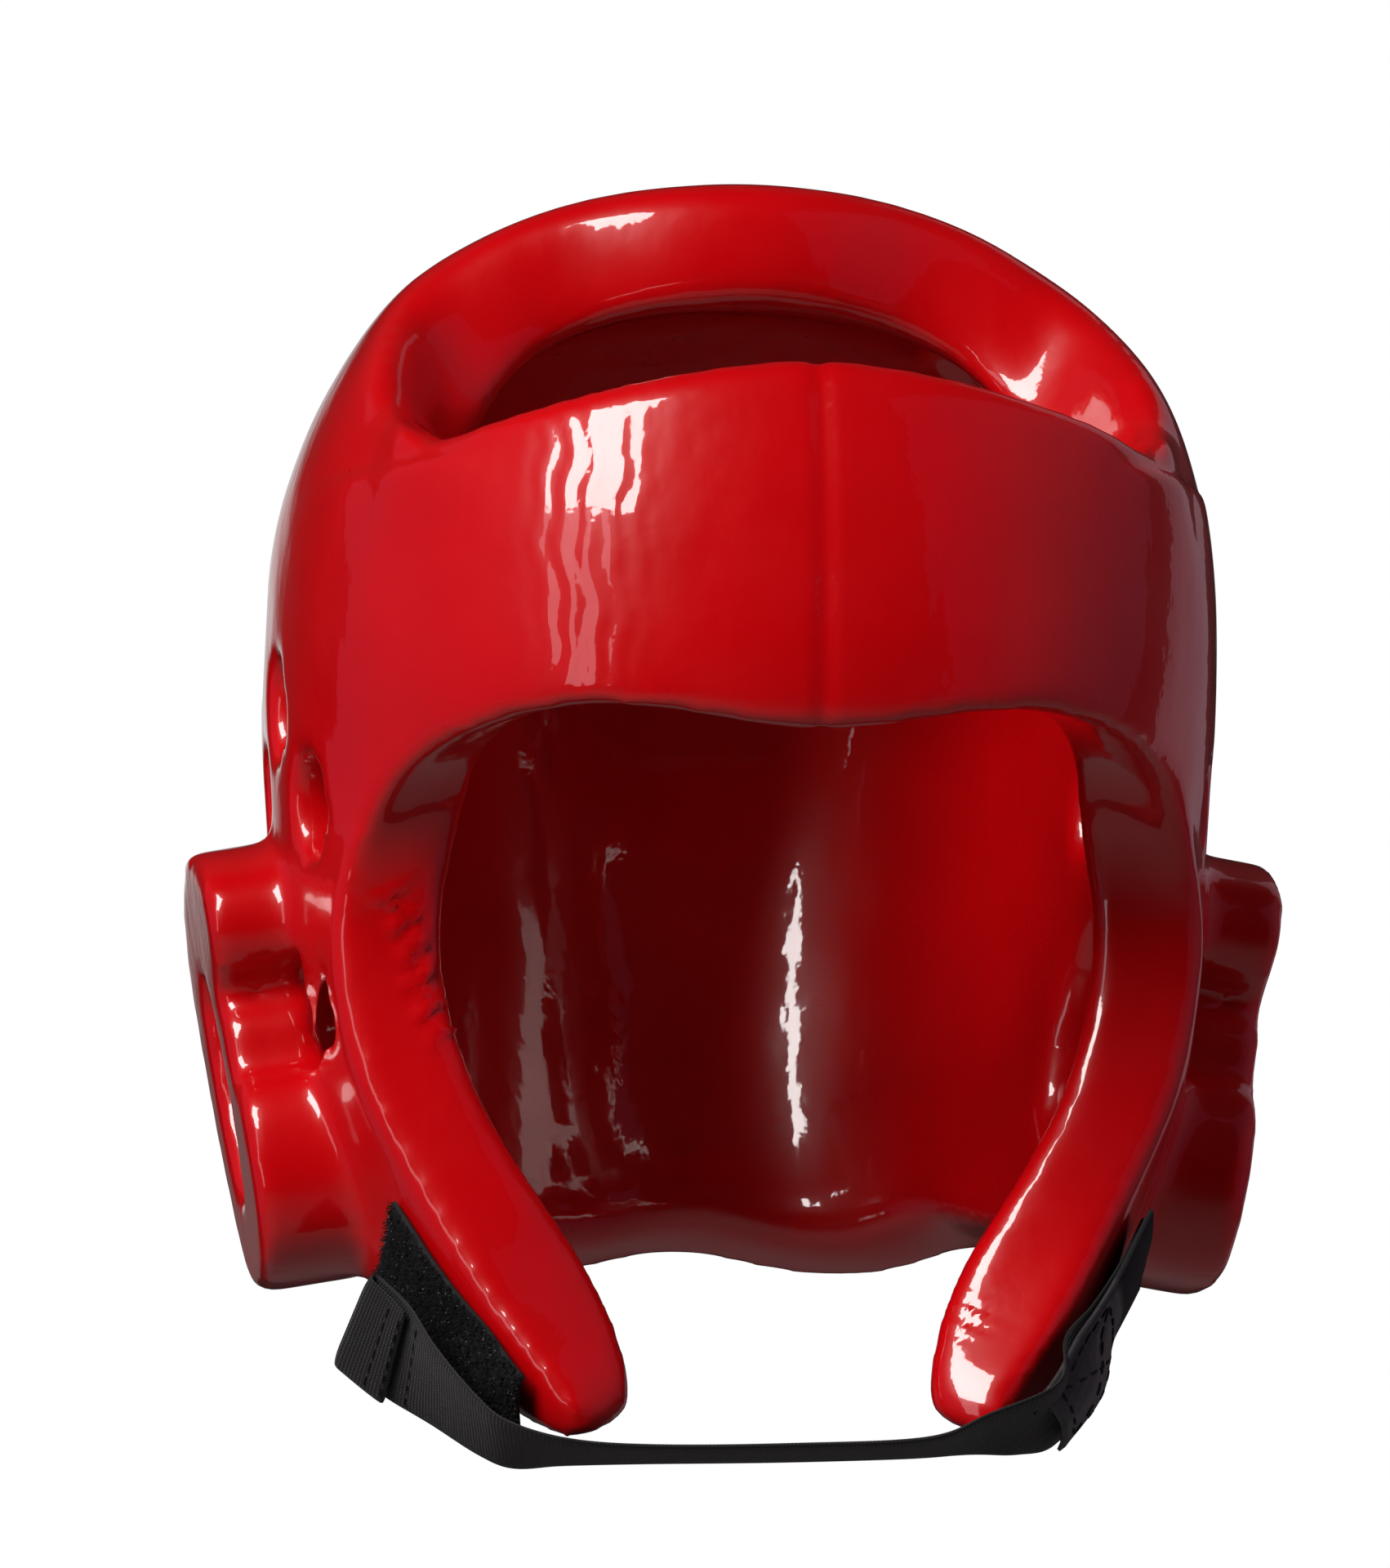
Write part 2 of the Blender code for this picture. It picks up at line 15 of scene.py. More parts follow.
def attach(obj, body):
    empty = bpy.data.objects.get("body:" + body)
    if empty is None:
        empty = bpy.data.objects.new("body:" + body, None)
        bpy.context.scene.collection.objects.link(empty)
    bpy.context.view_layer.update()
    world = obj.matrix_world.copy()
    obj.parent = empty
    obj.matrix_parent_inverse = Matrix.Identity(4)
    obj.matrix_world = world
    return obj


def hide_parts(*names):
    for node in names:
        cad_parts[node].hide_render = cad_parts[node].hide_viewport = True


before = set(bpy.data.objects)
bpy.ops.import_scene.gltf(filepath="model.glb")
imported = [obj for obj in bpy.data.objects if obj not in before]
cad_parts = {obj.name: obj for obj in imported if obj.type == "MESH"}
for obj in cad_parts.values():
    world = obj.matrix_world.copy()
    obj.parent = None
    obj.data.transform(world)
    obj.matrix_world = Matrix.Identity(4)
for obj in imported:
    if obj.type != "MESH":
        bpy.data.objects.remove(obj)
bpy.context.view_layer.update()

bl_info = {
    "name": "Foam Head Guard",
    "version": (1, 0, 0),
    "blender": (4, 5, 0),
    "location": "3D View > Sidebar > Head Guard",
    "description": "Builds the looks of a dipped-foam head guard round its packed frame",
    "category": "Object",
}

# Named sizes of the moulded body, which the places on it are shares of
HALF_WIDTH = 0.0946
FRONT_REACH = 0.1195
BACK_REACH = 0.119
CROWN_RISE = 0.0855
CHIN_DROP = 0.169
AXIS_LEVEL = -0.064
ROUNDNESS = 2.3
FOAM = 0.0215
GAP = 0.0004
STRAP_COLUMNS = 9
HEM_LENGTH = 0.011
HEM_GAP = 0.0003
THREAD = 0.00028
FIBRE = 0.00007
PANEL_COLUMNS = 4
TOP_COLUMNS = 4

# Openings of the moulded body
EAR_CENTRE = (-0.050, -0.515)
EAR_OPENING_FORE = 0.025
EAR_OPENING_FRONT = 0.0185
EAR_OPENING_HEIGHT = 0.026
VENT_SIZE = (0.0155, 0.0185)
SLOT_SIZE = (0.019, 0.034)
SLOT_CENTRE = (0.05, 0.70)

# Ear guards
GUARD_HEIGHT = 0.088
GUARD_DEPTH = 0.062
GUARD_RISE = 0.0145
GUARD_TILT = math.radians(9.5)
GUARD_CENTRE = (0.025, -0.527)
GUARD_SLOT = (0.021, 0.045)
GUARD_SLOT_CENTRE = (0.090, -0.040)
GUARD_SLOT_LEAN = 0.16
GUARD_SEAT = 0.0045
CHEEK_FULLNESS = 0.0035
CHEEK_NARROWING = 0.0042
CHEEK_THICKENING = 0.0052
CHEEK_THINNING = 0.0045
SLIT_CENTRE = (0.0842, -0.027, -0.1455)
SLIT_SIZE = (0.0028, 0.016, 0.0094)

# How far the front of the arch stands back, from the middle plane to its feet
ARCH_SETBACK = ((0.0, 0.0), (0.012, 0.0010), (0.0226, 0.0035), (0.036, 0.0094), (0.050, 0.0186), (0.058, 0.0226),
                (0.066, 0.0185), (0.072, 0.0100), (0.078, 0.0025), (0.084, 0.0))
ARCH_EXTRA = 0.0042

# Marks of the dipped skin
GROOVE_DEPTH = 0.0006
GROOVE_WIDTH = 0.0017
STEP_LEVEL = -0.0435
STEP_RISE = 0.0007
STREAK_DEPTH = 0.00009
ZIGZAG_TOP = (-0.0745, -0.1225)
ZIGZAG_FOOT = (-0.0645, -0.1530)
ZIGZAG_TURNS = 5.5
SWELL_DEPTH = 0.00010

# Small folds of the skin: middle across and up, half sizes, spacing, depth, lean, and bend to a point
FOLDS = (
    (0.0540, -0.1525, 0.0045, 0.0095, 0.0044, 0.00022, 0.35, 0.0),
    (0.0360, -0.2045, 0.0050, 0.0045, 0.0038, 0.00024, 0.5, 0.0),
    (-0.0446, -0.0100, 0.0045, 0.0035, 0.0036, 0.00024, -0.8, 0.0),
    (0.0394, -0.0100, 0.0055, 0.0035, 0.0036, 0.00022, 0.8, 0.0),
    (0.0552, -0.0300, 0.0040, 0.0045, 0.0038, 0.00028, 1.0, 0.0),
)

# Profile of the body in the middle plane, as shares (fore, height) of the reaches and of the rise or drop
PROFILE = (
    (-1.000, 0.000),
    (-0.987, 0.245),
    (-0.940, 0.455),
    (-0.807, 0.700),
    (-0.555, 0.900),
    (-0.252, 0.992),
    (0.000, 1.000),
    (0.254, 0.955),
    (0.508, 0.832),
    (0.746, 0.585),
    (0.915, 0.255),
    (0.992, -0.060),
    (0.983, -0.262),
    (0.898, -0.464),
    (0.788, -0.643),
    (0.712, -0.821),
    (0.525, -1.012),
    (0.254, -1.155),
    (-0.042, -1.214),
    (-0.289, -1.160),
    (-0.507, -1.103),
    (-0.600, -1.105),
    (-0.654, -1.038),
    (-0.665, -0.923),
    (-0.682, -0.835),
    (-0.702, -0.764),
    (-0.750, -0.648),
    (-0.780, -0.486),
    (-0.817, -0.344),
    (-0.908, -0.273),
    (-0.977, -0.218),
    (-1.001, -0.125),
)

# Rows of the skin round each ear: zone, then where the side panel ends (fore, height),
# where the row meets the middle plane (fore, height) and how far it bows over the top in degrees
RIM_ROWS = (
    ("face", -0.556, -1.006, 0.0, 0.0, 0.0),
    ("face", -0.606, -0.953, 0.0, 0.0, 0.0),
    ("face", -0.536, -0.840, 0.0, 0.0, 0.0),
    ("face", -0.477, -0.722, 0.0, 0.0, 0.0),
    ("face", -0.435, -0.592, 0.0, 0.0, 0.0),
    ("face", -0.414, -0.462, 0.0, 0.0, 0.0),
    ("face", -0.427, -0.343, 0.0, 0.0, 0.0),
    ("brow", -0.546, -0.229, -1.000, -0.219, 9.5),
    ("band", -0.538, -0.143, -1.008, -0.113, 3.0),
    ("band", -0.555, -0.048, -1.004, -0.012, 0.0),
    ("band", -0.588, 0.097, -0.987, 0.218, -1.0),
    ("band_top", -0.647, 0.290, -0.938, 0.478, -1.4),
    ("arch", -0.521, 0.440, -0.252, 0.992, 17.5),
    ("dome", -0.335, 0.619, -0.073, 1.007, 7.0),
    ("dome", -0.151, 0.672, 0.099, 1.006, 3.0),
    ("dome", 0.017, 0.682, 0.287, 0.968, 0.0),
    ("dome", 0.186, 0.661, 0.481, 0.880, 0.0),
    ("dome", 0.361, 0.573, 0.676, 0.703, 0.0),
    ("dome", 0.512, 0.406, 0.844, 0.440, 0.0),
    ("dome", 0.630, 0.159, 0.959, 0.096, 0.0),
    ("dome", 0.678, -0.076, 0.997, -0.162, 0.0),
    ("dome", 0.668, -0.250, 0.954, -0.330, 0.0),
    ("dome", 0.640, -0.410, 0.890, -0.480, 0.0),
    ("dome", 0.600, -0.560, 0.825, -0.610, 0.0),
    ("nape", 0.545, -0.728, 0.763, -0.732, 0.0),
    ("under", 0.353, -0.751, 0.0, 0.0, 0.0),
    ("under", 0.126, -0.769, 0.0, 0.0, 0.0),
    ("under", -0.067, -0.787, 0.0, 0.0, 0.0),
    ("under", -0.226, -0.817, 0.0, 0.0, 0.0),
    ("under", -0.385, -0.917, 0.0, 0.0, 0.0),
)

# Vents on each temple, as shares (fore, height)
VENTS = (
    (0.160, -0.020),
    (-0.110, -0.125),
    (0.075, -0.225),
    (-0.290, -0.250),
)

# Outline of an ear guard, as shares (fore, height) of its depth and height from its centre
GUARD_OUTLINE = (
    (-0.300, 0.430),
    (-0.100, 0.490),
    (0.140, 0.500),
    (0.360, 0.450),
    (0.540, 0.340),
    (0.590, 0.190),
    (0.570, 0.030),
    (0.530, -0.120),
    (0.420, -0.270),
    (0.330, -0.410),
    (0.150, -0.490),
    (-0.080, -0.500),
    (-0.320, -0.475),
    (-0.470, -0.400),
    (-0.530, -0.270),
    (-0.520, -0.130),
    (-0.440, -0.045),
    (-0.310, -0.025),
    (-0.330, 0.035),
    (-0.310, 0.100),
    (-0.200, 0.155),
    (-0.340, 0.200),
    (-0.410, 0.290),
    (-0.390, 0.380),
)

# Fixed end of the chin strap on the left cheek, as shares (fore, drop)
ANCHOR_PATH = (
    (-0.330, -0.760),
    (-0.385, -0.815),
    (-0.440, -0.868),
    (-0.492, -0.918),
)

# Free run of the strap: shares (side, fore, drop), then the way that its face looks
FREE_PATH = (
    (0.520, -0.552, -0.954, 0.52, -0.36, -0.77),
    (0.400, -0.553, -0.972, 0.20, -0.27, -0.94),
    (0.270, -0.560, -0.988, 0.06, -0.12, -0.99),
    (0.000, -0.563, -0.994, 0.00, -0.10, -1.00),
    (-0.270, -0.563, -0.996, -0.02, -0.10, -1.00),
    (-0.442, -0.561, -0.994, -0.12, -0.15, -0.98),
    (-0.558, -0.544, -0.985, -0.28, -0.27, -0.92),
    (-0.625, -0.519, -0.961, -0.58, -0.28, -0.77),
    (-0.706, -0.475, -0.917, -0.56, -0.43, -0.71),
    (-0.773, -0.427, -0.878, -0.48, -0.60, -0.64),
    (-0.843, -0.400, -0.842, -0.52, -0.60, -0.60),
)

# Corners of the pads on the cheeks: shares (fore, drop), in order round the pad
TAB_CORNERS = ((-0.440, -0.705), (-0.585, -0.925), (-0.460, -0.975), (-0.270, -0.790))
PATCH_CORNERS = ((-0.400, -0.705), (-0.566, -0.908), (-0.500, -0.985), (-0.200, -0.800))


class HeadGuardSizes(bpy.types.PropertyGroup):
    """Sizes of the details that the looks add."""

    skin_grain: bpy.props.FloatProperty(
        name="Skin grain", description="Spacing of the points that the dipped skin is made of",
        default=0.0015, min=0.001, max=0.006, unit="LENGTH", precision=5)
    strap_width: bpy.props.FloatProperty(
        name="Strap width", description="Width of the chin strap",
        default=0.027, min=0.01, max=0.05, unit="LENGTH", precision=4)
    strap_thickness: bpy.props.FloatProperty(
        name="Strap thickness", description="Thickness of the strap's webbing",
        default=0.0016, min=0.0005, max=0.004, unit="LENGTH", precision=5)
    patch_thickness: bpy.props.FloatProperty(
        name="Patch thickness", description="Thickness of the loop patch's backing",
        default=0.0012, min=0.0005, max=0.004, unit="LENGTH", precision=5)
    pile_height: bpy.props.FloatProperty(
        name="Pile height", description="How far the patch's loops stand up",
        default=0.0011, min=0.0, max=0.004, unit="LENGTH", precision=5)
    tab_thickness: bpy.props.FloatProperty(
        name="Tab thickness", description="Thickness of the stitched tab",
        default=0.0014, min=0.0005, max=0.004, unit="LENGTH", precision=5)
    stitch_length: bpy.props.FloatProperty(
        name="Stitch length", description="Length of one stitch",
        default=0.0028, min=0.001, max=0.01, unit="LENGTH", precision=5)


class HeadGuardColours(bpy.types.PropertyGroup):
    """Colours of the finishes."""

    skin: bpy.props.FloatVectorProperty(
        name="Skin", description="Colour of the dipped vinyl skin",
        subtype="COLOR", size=3, min=0.0, max=1.0, default=(0.56, 0.0007, 0.003))
    webbing: bpy.props.FloatVectorProperty(
        name="Webbing", description="Colour of the strap's yarn",
        subtype="COLOR", size=3, min=0.0, max=1.0, default=(0.008, 0.0075, 0.008))
    pile: bpy.props.FloatVectorProperty(
        name="Pile", description="Colour of the patch's loops",
        subtype="COLOR", size=3, min=0.0, max=1.0, default=(0.008, 0.008, 0.009))
    tab: bpy.props.FloatVectorProperty(
        name="Tab", description="Colour of the stitched tab",
        subtype="COLOR", size=3, min=0.0, max=1.0, default=(0.022, 0.022, 0.025))
    floor: bpy.props.FloatVectorProperty(
        name="Floor", description="Colour of the studio floor",
        subtype="COLOR", size=3, min=0.0, max=1.0, default=(0.90, 0.90, 0.90))


def fore_at(share):
    """Place along Y of a share of the reach."""
    return share * (FRONT_REACH if share < 0.0 else BACK_REACH)


def level_at(share):
    """Height of a share of the rise or drop."""
    return AXIS_LEVEL + share * (CROWN_RISE if share > 0.0 else CHIN_DROP)


def add_object(name, mesh):
    """A new object in the scene."""
    made = bpy.data.objects.new(name, mesh)
    bpy.context.scene.collection.objects.link(made)
    return made


def pick(*objects):
    """Select only these objects and make the first one active."""
    bpy.ops.object.select_all(action="DESELECT")
    for one in objects:
        one.select_set(True)
    bpy.context.view_layer.objects.active = objects[0]


def use_modifier(obj, kind, **settings):
    """Add a modifier and apply it."""
    pick(obj)
    made = obj.modifiers.new(kind.title(), kind)
    for name, value in settings.items():
        setattr(made, name, value)
    bpy.ops.object.modifier_apply(modifier=made.name)


def cad_copy(node, name):
    """A merged copy of a frame node."""
    made = add_object(name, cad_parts[node].data.copy())
    made.data.materials.clear()
    work = bmesh.new()
    work.from_mesh(made.data)
    bmesh.ops.remove_doubles(work, verts=work.verts, dist=1e-5)
    work.to_mesh(made.data)
    work.free()
    return made


def places_of(mesh):
    """The places of a mesh's points, as rows."""
    flat = np.empty(len(mesh.vertices) * 3)
    mesh.vertices.foreach_get("co", flat)
    return flat.reshape(-1, 3)


def normals_of(mesh):
    """The outward directions at a mesh's points, as rows."""
    flat = np.empty(len(mesh.vertices) * 3)
    mesh.vertices.foreach_get("normal", flat)
    return flat.reshape(-1, 3)


def put_places(mesh, places):
    """Move a mesh's points."""
    mesh.vertices.foreach_set("co", places.ravel())
    mesh.update()


def ends_of(mesh):
    """The two ends of each edge, as rows."""
    flat = np.empty(len(mesh.edges) * 2, np.int64)
    mesh.edges.foreach_get("vertices", flat)
    return flat.reshape(-1, 2)


def pull_of(places, ends):
    """How far each point is from the middle of its neighbours."""
    near, far = ends.T
    count = len(places)
    number = np.bincount(ends.ravel(), minlength=count)
    total = np.empty_like(places)
    for axis in range(3):
        total[:, axis] = np.bincount(near, places[far, axis], count)
        total[:, axis] += np.bincount(far, places[near, axis], count)
    return total / np.maximum(number, 1)[:, None] - places


def smoothstep(value, low, high):
    """0 below low, 1 above high and an even slope between."""
    share = np.clip((value - low) / (high - low), 0.0, 1.0)
    return share * share * (3.0 - 2.0 * share)


# ---------------------------------------------------------------- finishes


def node_tree(surface):
    """The nodes, the links and the shader of a fresh material."""
    surface.use_nodes = True
    tree = surface.node_tree
    return tree.nodes, tree.links, tree.nodes["Principled BSDF"]


def grain(nodes, links, place, scale, detail, roughness=0.5):
    """A noise of a scale on a place."""
    made = nodes.new("ShaderNodeTexNoise")
    made.inputs["Scale"].default_value = scale
    made.inputs["Detail"].default_value = detail
    made.inputs["Roughness"].default_value = roughness
    links.new(place, made.inputs["Vector"])
    return made.outputs["Fac"]


def ramp(nodes, links, value, low, high, start, end):
    """A value mapped from one range to another."""
    made = nodes.new("ShaderNodeMapRange")
    made.inputs["From Min"].default_value = low
    made.inputs["From Max"].default_value = high
    made.inputs["To Min"].default_value = start
    made.inputs["To Max"].default_value = end
    links.new(value, made.inputs["Value"])
    return made.outputs["Result"]


def blend(nodes, links, share, first, second):
    """Two colours mixed by a share."""
    made = nodes.new("ShaderNodeMix")
    made.data_type = "RGBA"
    made.inputs["A"].default_value = (*first, 1.0)
    made.inputs["B"].default_value = (*second, 1.0)
    links.new(share, made.inputs["Factor"])
    return made.outputs["Result"]


def bump(nodes, links, height, strength, distance, under=None):
    """A bump of a height, over another one."""
    made = nodes.new("ShaderNodeBump")
    made.inputs["Strength"].default_value = strength
    made.inputs["Distance"].default_value = distance
    links.new(height, made.inputs["Height"])
    if under is not None:
        links.new(under, made.inputs["Normal"])
    return made.outputs["Normal"]


def mapped(nodes, links, place, scale, turn=(0.0, 0.0, 0.0)):
    """A place stretched along its axes."""
    made = nodes.new("ShaderNodeMapping")
    made.inputs["Scale"].default_value = scale
    made.inputs["Rotation"].default_value = turn
    links.new(place, made.inputs["Vector"])
    return made.outputs["Vector"]


def shade_of(colour, share):
    """A colour made darker or lighter."""
    return tuple(min(1.0, part * share) for part in colour)


def dipped_vinyl(colour):
    """Glossy red vinyl skin over foam, with a faint orange peel and brushed-out flow marks."""
    surface = bpy.data.materials.new("Dipped vinyl skin")
    nodes, links, shader = node_tree(surface)
    place = nodes.new("ShaderNodeTexCoord").outputs["Object"]
    cloud = grain(nodes, links, place, 22.0, 3.0)
    links.new(blend(nodes, links, ramp(nodes, links, cloud, 0.35, 0.65, 0.0, 1.0),
                    shade_of(colour, 0.93), shade_of(colour, 1.05)), shader.inputs["Base Color"])
    links.new(ramp(nodes, links, grain(nodes, links, place, 60.0, 4.0), 0.3, 0.7, 0.26, 0.36),
              shader.inputs["Roughness"])
    peel = bump(nodes, links, grain(nodes, links, place, 230.0, 2.0), 0.10, 0.0006)
    flow = mapped(nodes, links, place, (1.0, 1.0, 0.35))
    waves = bump(nodes, links, grain(nodes, links, flow, 75.0, 2.5), 0.16, 0.0016, peel)
    links.new(waves, shader.inputs["Normal"])
    links.new(waves, shader.inputs["Coat Normal"])
    shader.inputs["Coat Weight"].default_value = 1.0
    shader.inputs["Coat Roughness"].default_value = 0.045
    shader.inputs["Coat IOR"].default_value = 1.5
    shader.inputs["Specular IOR Level"].default_value = 0.2
    return surface


def woven(name, colour, ribs, roughness):
    """Black narrow webbing: ribs across the band with yarns along it, on the piece's own UV map in metres."""
    surface = bpy.data.materials.new(name)
    nodes, links, shader = node_tree(surface)
    place = nodes.new("ShaderNodeUVMap")
    place.uv_map = "UVMap"
    place = place.outputs["UV"]
    rib = nodes.new("ShaderNodeTexWave")
    rib.bands_direction = "X"
    rib.inputs["Scale"].default_value = ribs
    rib.inputs["Distortion"].default_value = 0.4
    links.new(place, rib.inputs["Vector"])
    yarn = nodes.new("ShaderNodeTexWave")
    yarn.bands_direction = "Y"
    yarn.inputs["Scale"].default_value = ribs * 0.8
    yarn.inputs["Distortion"].default_value = 0.5
    links.new(place, yarn.inputs["Vector"])
    weave = nodes.new("ShaderNodeMath")
    weave.operation = "MULTIPLY"
    links.new(rib.outputs["Fac"], weave.inputs[0])
    links.new(yarn.outputs["Fac"], weave.inputs[1])
    links.new(blend(nodes, links, weave.outputs["Value"], shade_of(colour, 0.55), shade_of(colour, 1.7)),
              shader.inputs["Base Color"])
    links.new(bump(nodes, links, weave.outputs["Value"], 0.7, 0.0003), shader.inputs["Normal"])
    shader.inputs["Roughness"].default_value = roughness
    shader.inputs["Sheen Weight"].default_value = 0.10
    shader.inputs["Sheen Roughness"].default_value = 0.4
    return surface


def plain_finish(name, colour, roughness, scale, depth):
    """A small piece's finish: a colour that varies a little, with a fine grain."""
    surface = bpy.data.materials.new(name)
    nodes, links, shader = node_tree(surface)
    place = nodes.new("ShaderNodeTexCoord").outputs["Object"]
    noise = grain(nodes, links, place, scale, 4.0)
    links.new(blend(nodes, links, noise, shade_of(colour, 0.6), shade_of(colour, 1.5)),
              shader.inputs["Base Color"])
    links.new(ramp(nodes, links, noise, 0.3, 0.7, roughness - 0.08, roughness + 0.08),
              shader.inputs["Roughness"])
    links.new(bump(nodes, links, noise, 0.5, depth), shader.inputs["Normal"])
    return surface


def tab_finish(colour):
    """The tab's finish: dull felt at its upper end, grained vinyl under the stitching."""
    surface = plain_finish("Black stitched vinyl", colour, 0.5, 650.0, 0.0003)
    nodes, links = surface.node_tree.nodes, surface.node_tree.links
    shader = nodes["Principled BSDF"]
    place = nodes.new("ShaderNodeUVMap")
    place.uv_map = "UVMap"
    parts = nodes.new("ShaderNodeSeparateXYZ")
    links.new(place.outputs["UV"], parts.inputs["Vector"])
    share = ramp(nodes, links, parts.outputs["X"], 0.016, 0.018, 0.0, 1.0)
    fuzz = grain(nodes, links, place.outputs["UV"], 1400.0, 3.0)
    felt = blend(nodes, links, fuzz, shade_of(colour, 0.15), shade_of(colour, 0.6))
    mix = nodes.new("ShaderNodeMix")
    mix.data_type = "RGBA"
    vinyl = shader.inputs["Base Color"].links[0].from_socket
    links.new(share, mix.inputs["Factor"])
    links.new(felt, mix.inputs["A"])
    links.new(vinyl, mix.inputs["B"])
    links.new(mix.outputs["Result"], shader.inputs["Base Color"])
    links.new(ramp(nodes, links, share, 0.0, 1.0, 0.95, 0.48), shader.inputs["Roughness"])
    return surface


# ---------------------------------------------------------------- the moulded body


def distance_to(place, start, end):
    """How far a place is from a straight line between two others."""
    way = end - start
    share = min(1.0, max(0.0, (place - start).dot(way) / way.length_squared))
    return (place - start - way * share).length



def turn_of(fore, level):
    """Turn about the ear axis: 0 ahead, 90 over the top."""
    return math.degrees(math.atan2(level - AXIS_LEVEL, -fore)) % 360.0


def profile_reaches():
    """Turn and reach of the profile rows, in order of turn and once round."""
    found = sorted((turn_of(fore_at(fore), level_at(height)),
                    math.hypot(fore_at(fore), level_at(height) - AXIS_LEVEL)) for fore, height in PROFILE)
    return [(found[-1][0] - 360.0, found[-1][1]), *found, (found[0][0] + 360.0, found[0][1])]


REACHES = profile_reaches()


def reach_at(turn):
    """Reach of the profile at a turn, softened over a few degrees."""
    total = 0.0
    for offset in (-4.0, -2.0, 0.0, 2.0, 4.0):
        wanted = (turn + offset) % 360.0
        for low, high in zip(REACHES, REACHES[1:]):
            if low[0] <= wanted <= high[0]:
                total += low[1] + (high[1] - low[1]) * (wanted - low[0]) / max(1e-9, high[0] - low[0])
                break
    return total / 5.0


def low_cheek(fore, level):
    """1 on the lower half of a cheek bar, 0 away from it and at its tip."""
    along = smoothstep(-level, 0.158, 0.190) * (1.0 - smoothstep(-level, 0.206, 0.221))
    return along * smoothstep(-fore, 0.018, 0.045)


def cheek_change(fore, level):
    """How much thicker than the foam a cheek bar is: a little along its end and thinner at its tip."""
    along = smoothstep(-level, 0.187, 0.203) * (1.0 - smoothstep(-level, 0.212, 0.225))
    tip = smoothstep(-level, 0.205, 0.222)
    return (CHEEK_THICKENING * along - CHEEK_THINNING * tip) * smoothstep(-fore, 0.018, 0.045)


def side_at(fore, level):
    """Half width of the skin at a place in the side view."""
    share = min(0.999, math.hypot(fore, level - AXIS_LEVEL) / reach_at(turn_of(fore, level)))
    half = HALF_WIDTH * (1.0 - share ** ROUNDNESS) ** (1.0 / ROUNDNESS)
    return half - CHEEK_NARROWING * low_cheek(fore, level)


def skin_point(fore, level, side):
    """Place on the skin for a place in the side view."""
    return Vector((side * side_at(fore, level), fore, level))


def skin_normal(fore, level, side):
    """Outward direction of the skin."""
    step = 0.002
    along = skin_point(fore + step, level, side) - skin_point(fore - step, level, side)
    up = skin_point(fore, level + step, side) - skin_point(fore, level - step, side)
    normal = along.cross(up).normalized()
    return -normal if normal.x * side < 0.0 else normal


def row_points(row, side):
    """Places of one row, from the ear opening to the middle plane."""
    _, fore, height, mid_fore, mid_height, bow = row
    rim_y, rim_z = fore_at(fore), level_at(height)
    ear_y, ear_z = fore_at(EAR_CENTRE[0]), level_at(EAR_CENTRE[1])
    away = math.atan2((rim_z - ear_z) / EAR_OPENING_HEIGHT, (rim_y - ear_y) / EAR_OPENING_FORE)
    ahead = max(0.0, -math.cos(away)) ** 0.5
    wide = EAR_OPENING_FORE + (EAR_OPENING_FRONT - EAR_OPENING_FORE) * ahead
    hole_y = ear_y + wide * math.cos(away)
    hole_z = ear_z + EAR_OPENING_HEIGHT * math.sin(away)
    points = []
    for column in range(PANEL_COLUMNS + 1):
        share = column / PANEL_COLUMNS
        points.append(skin_point(hole_y + (rim_y - hole_y) * share, hole_z + (rim_z - hole_z) * share, side))
    if mid_fore == 0.0:
        return points
    rim_turn, mid_turn = turn_of(rim_y, rim_z), turn_of(fore_at(mid_fore), level_at(mid_height))
    if mid_turn - rim_turn > 180.0:
        mid_turn -= 360.0
    if rim_turn - mid_turn > 180.0:
        rim_turn -= 360.0
    rim_reach = math.hypot(rim_y, rim_z - AXIS_LEVEL) / reach_at(rim_turn)
    power = 2.0 / ROUNDNESS
    start = math.asin(min(1.0, rim_reach ** (1.0 / power)))
    for column in range(1, TOP_COLUMNS + 1):
        share = column / TOP_COLUMNS
        lean = start + (math.pi / 2.0 - start) * share
        turn = rim_turn + (mid_turn - rim_turn) * share + bow * math.sin(math.pi * share ** 0.8)
        reach = reach_at(turn) * math.sin(lean) ** power
        points.append(Vector((side * HALF_WIDTH * max(0.0, math.cos(lean)) ** power,
                              -reach * math.cos(math.radians(turn)),
                              AXIS_LEVEL + reach * math.sin(math.radians(turn)))))
    points[-1].x = 0.0
    return points


def fuller_cheek(place, zone, column):
    """The cheek bars stand a little wider at their front edge than the plain skin."""
    if zone != "face" or column < PANEL_COLUMNS - 1:
        return place
    low = smoothstep(-place.z, 0.085, 0.125) * (1.0 - smoothstep(-place.z, 0.150, 0.185))
    grow = CHEEK_FULLNESS * low * (1.0 if column == PANEL_COLUMNS else 0.5)
    return place + Vector((math.copysign(grow, place.x), 0.0, 0.0))


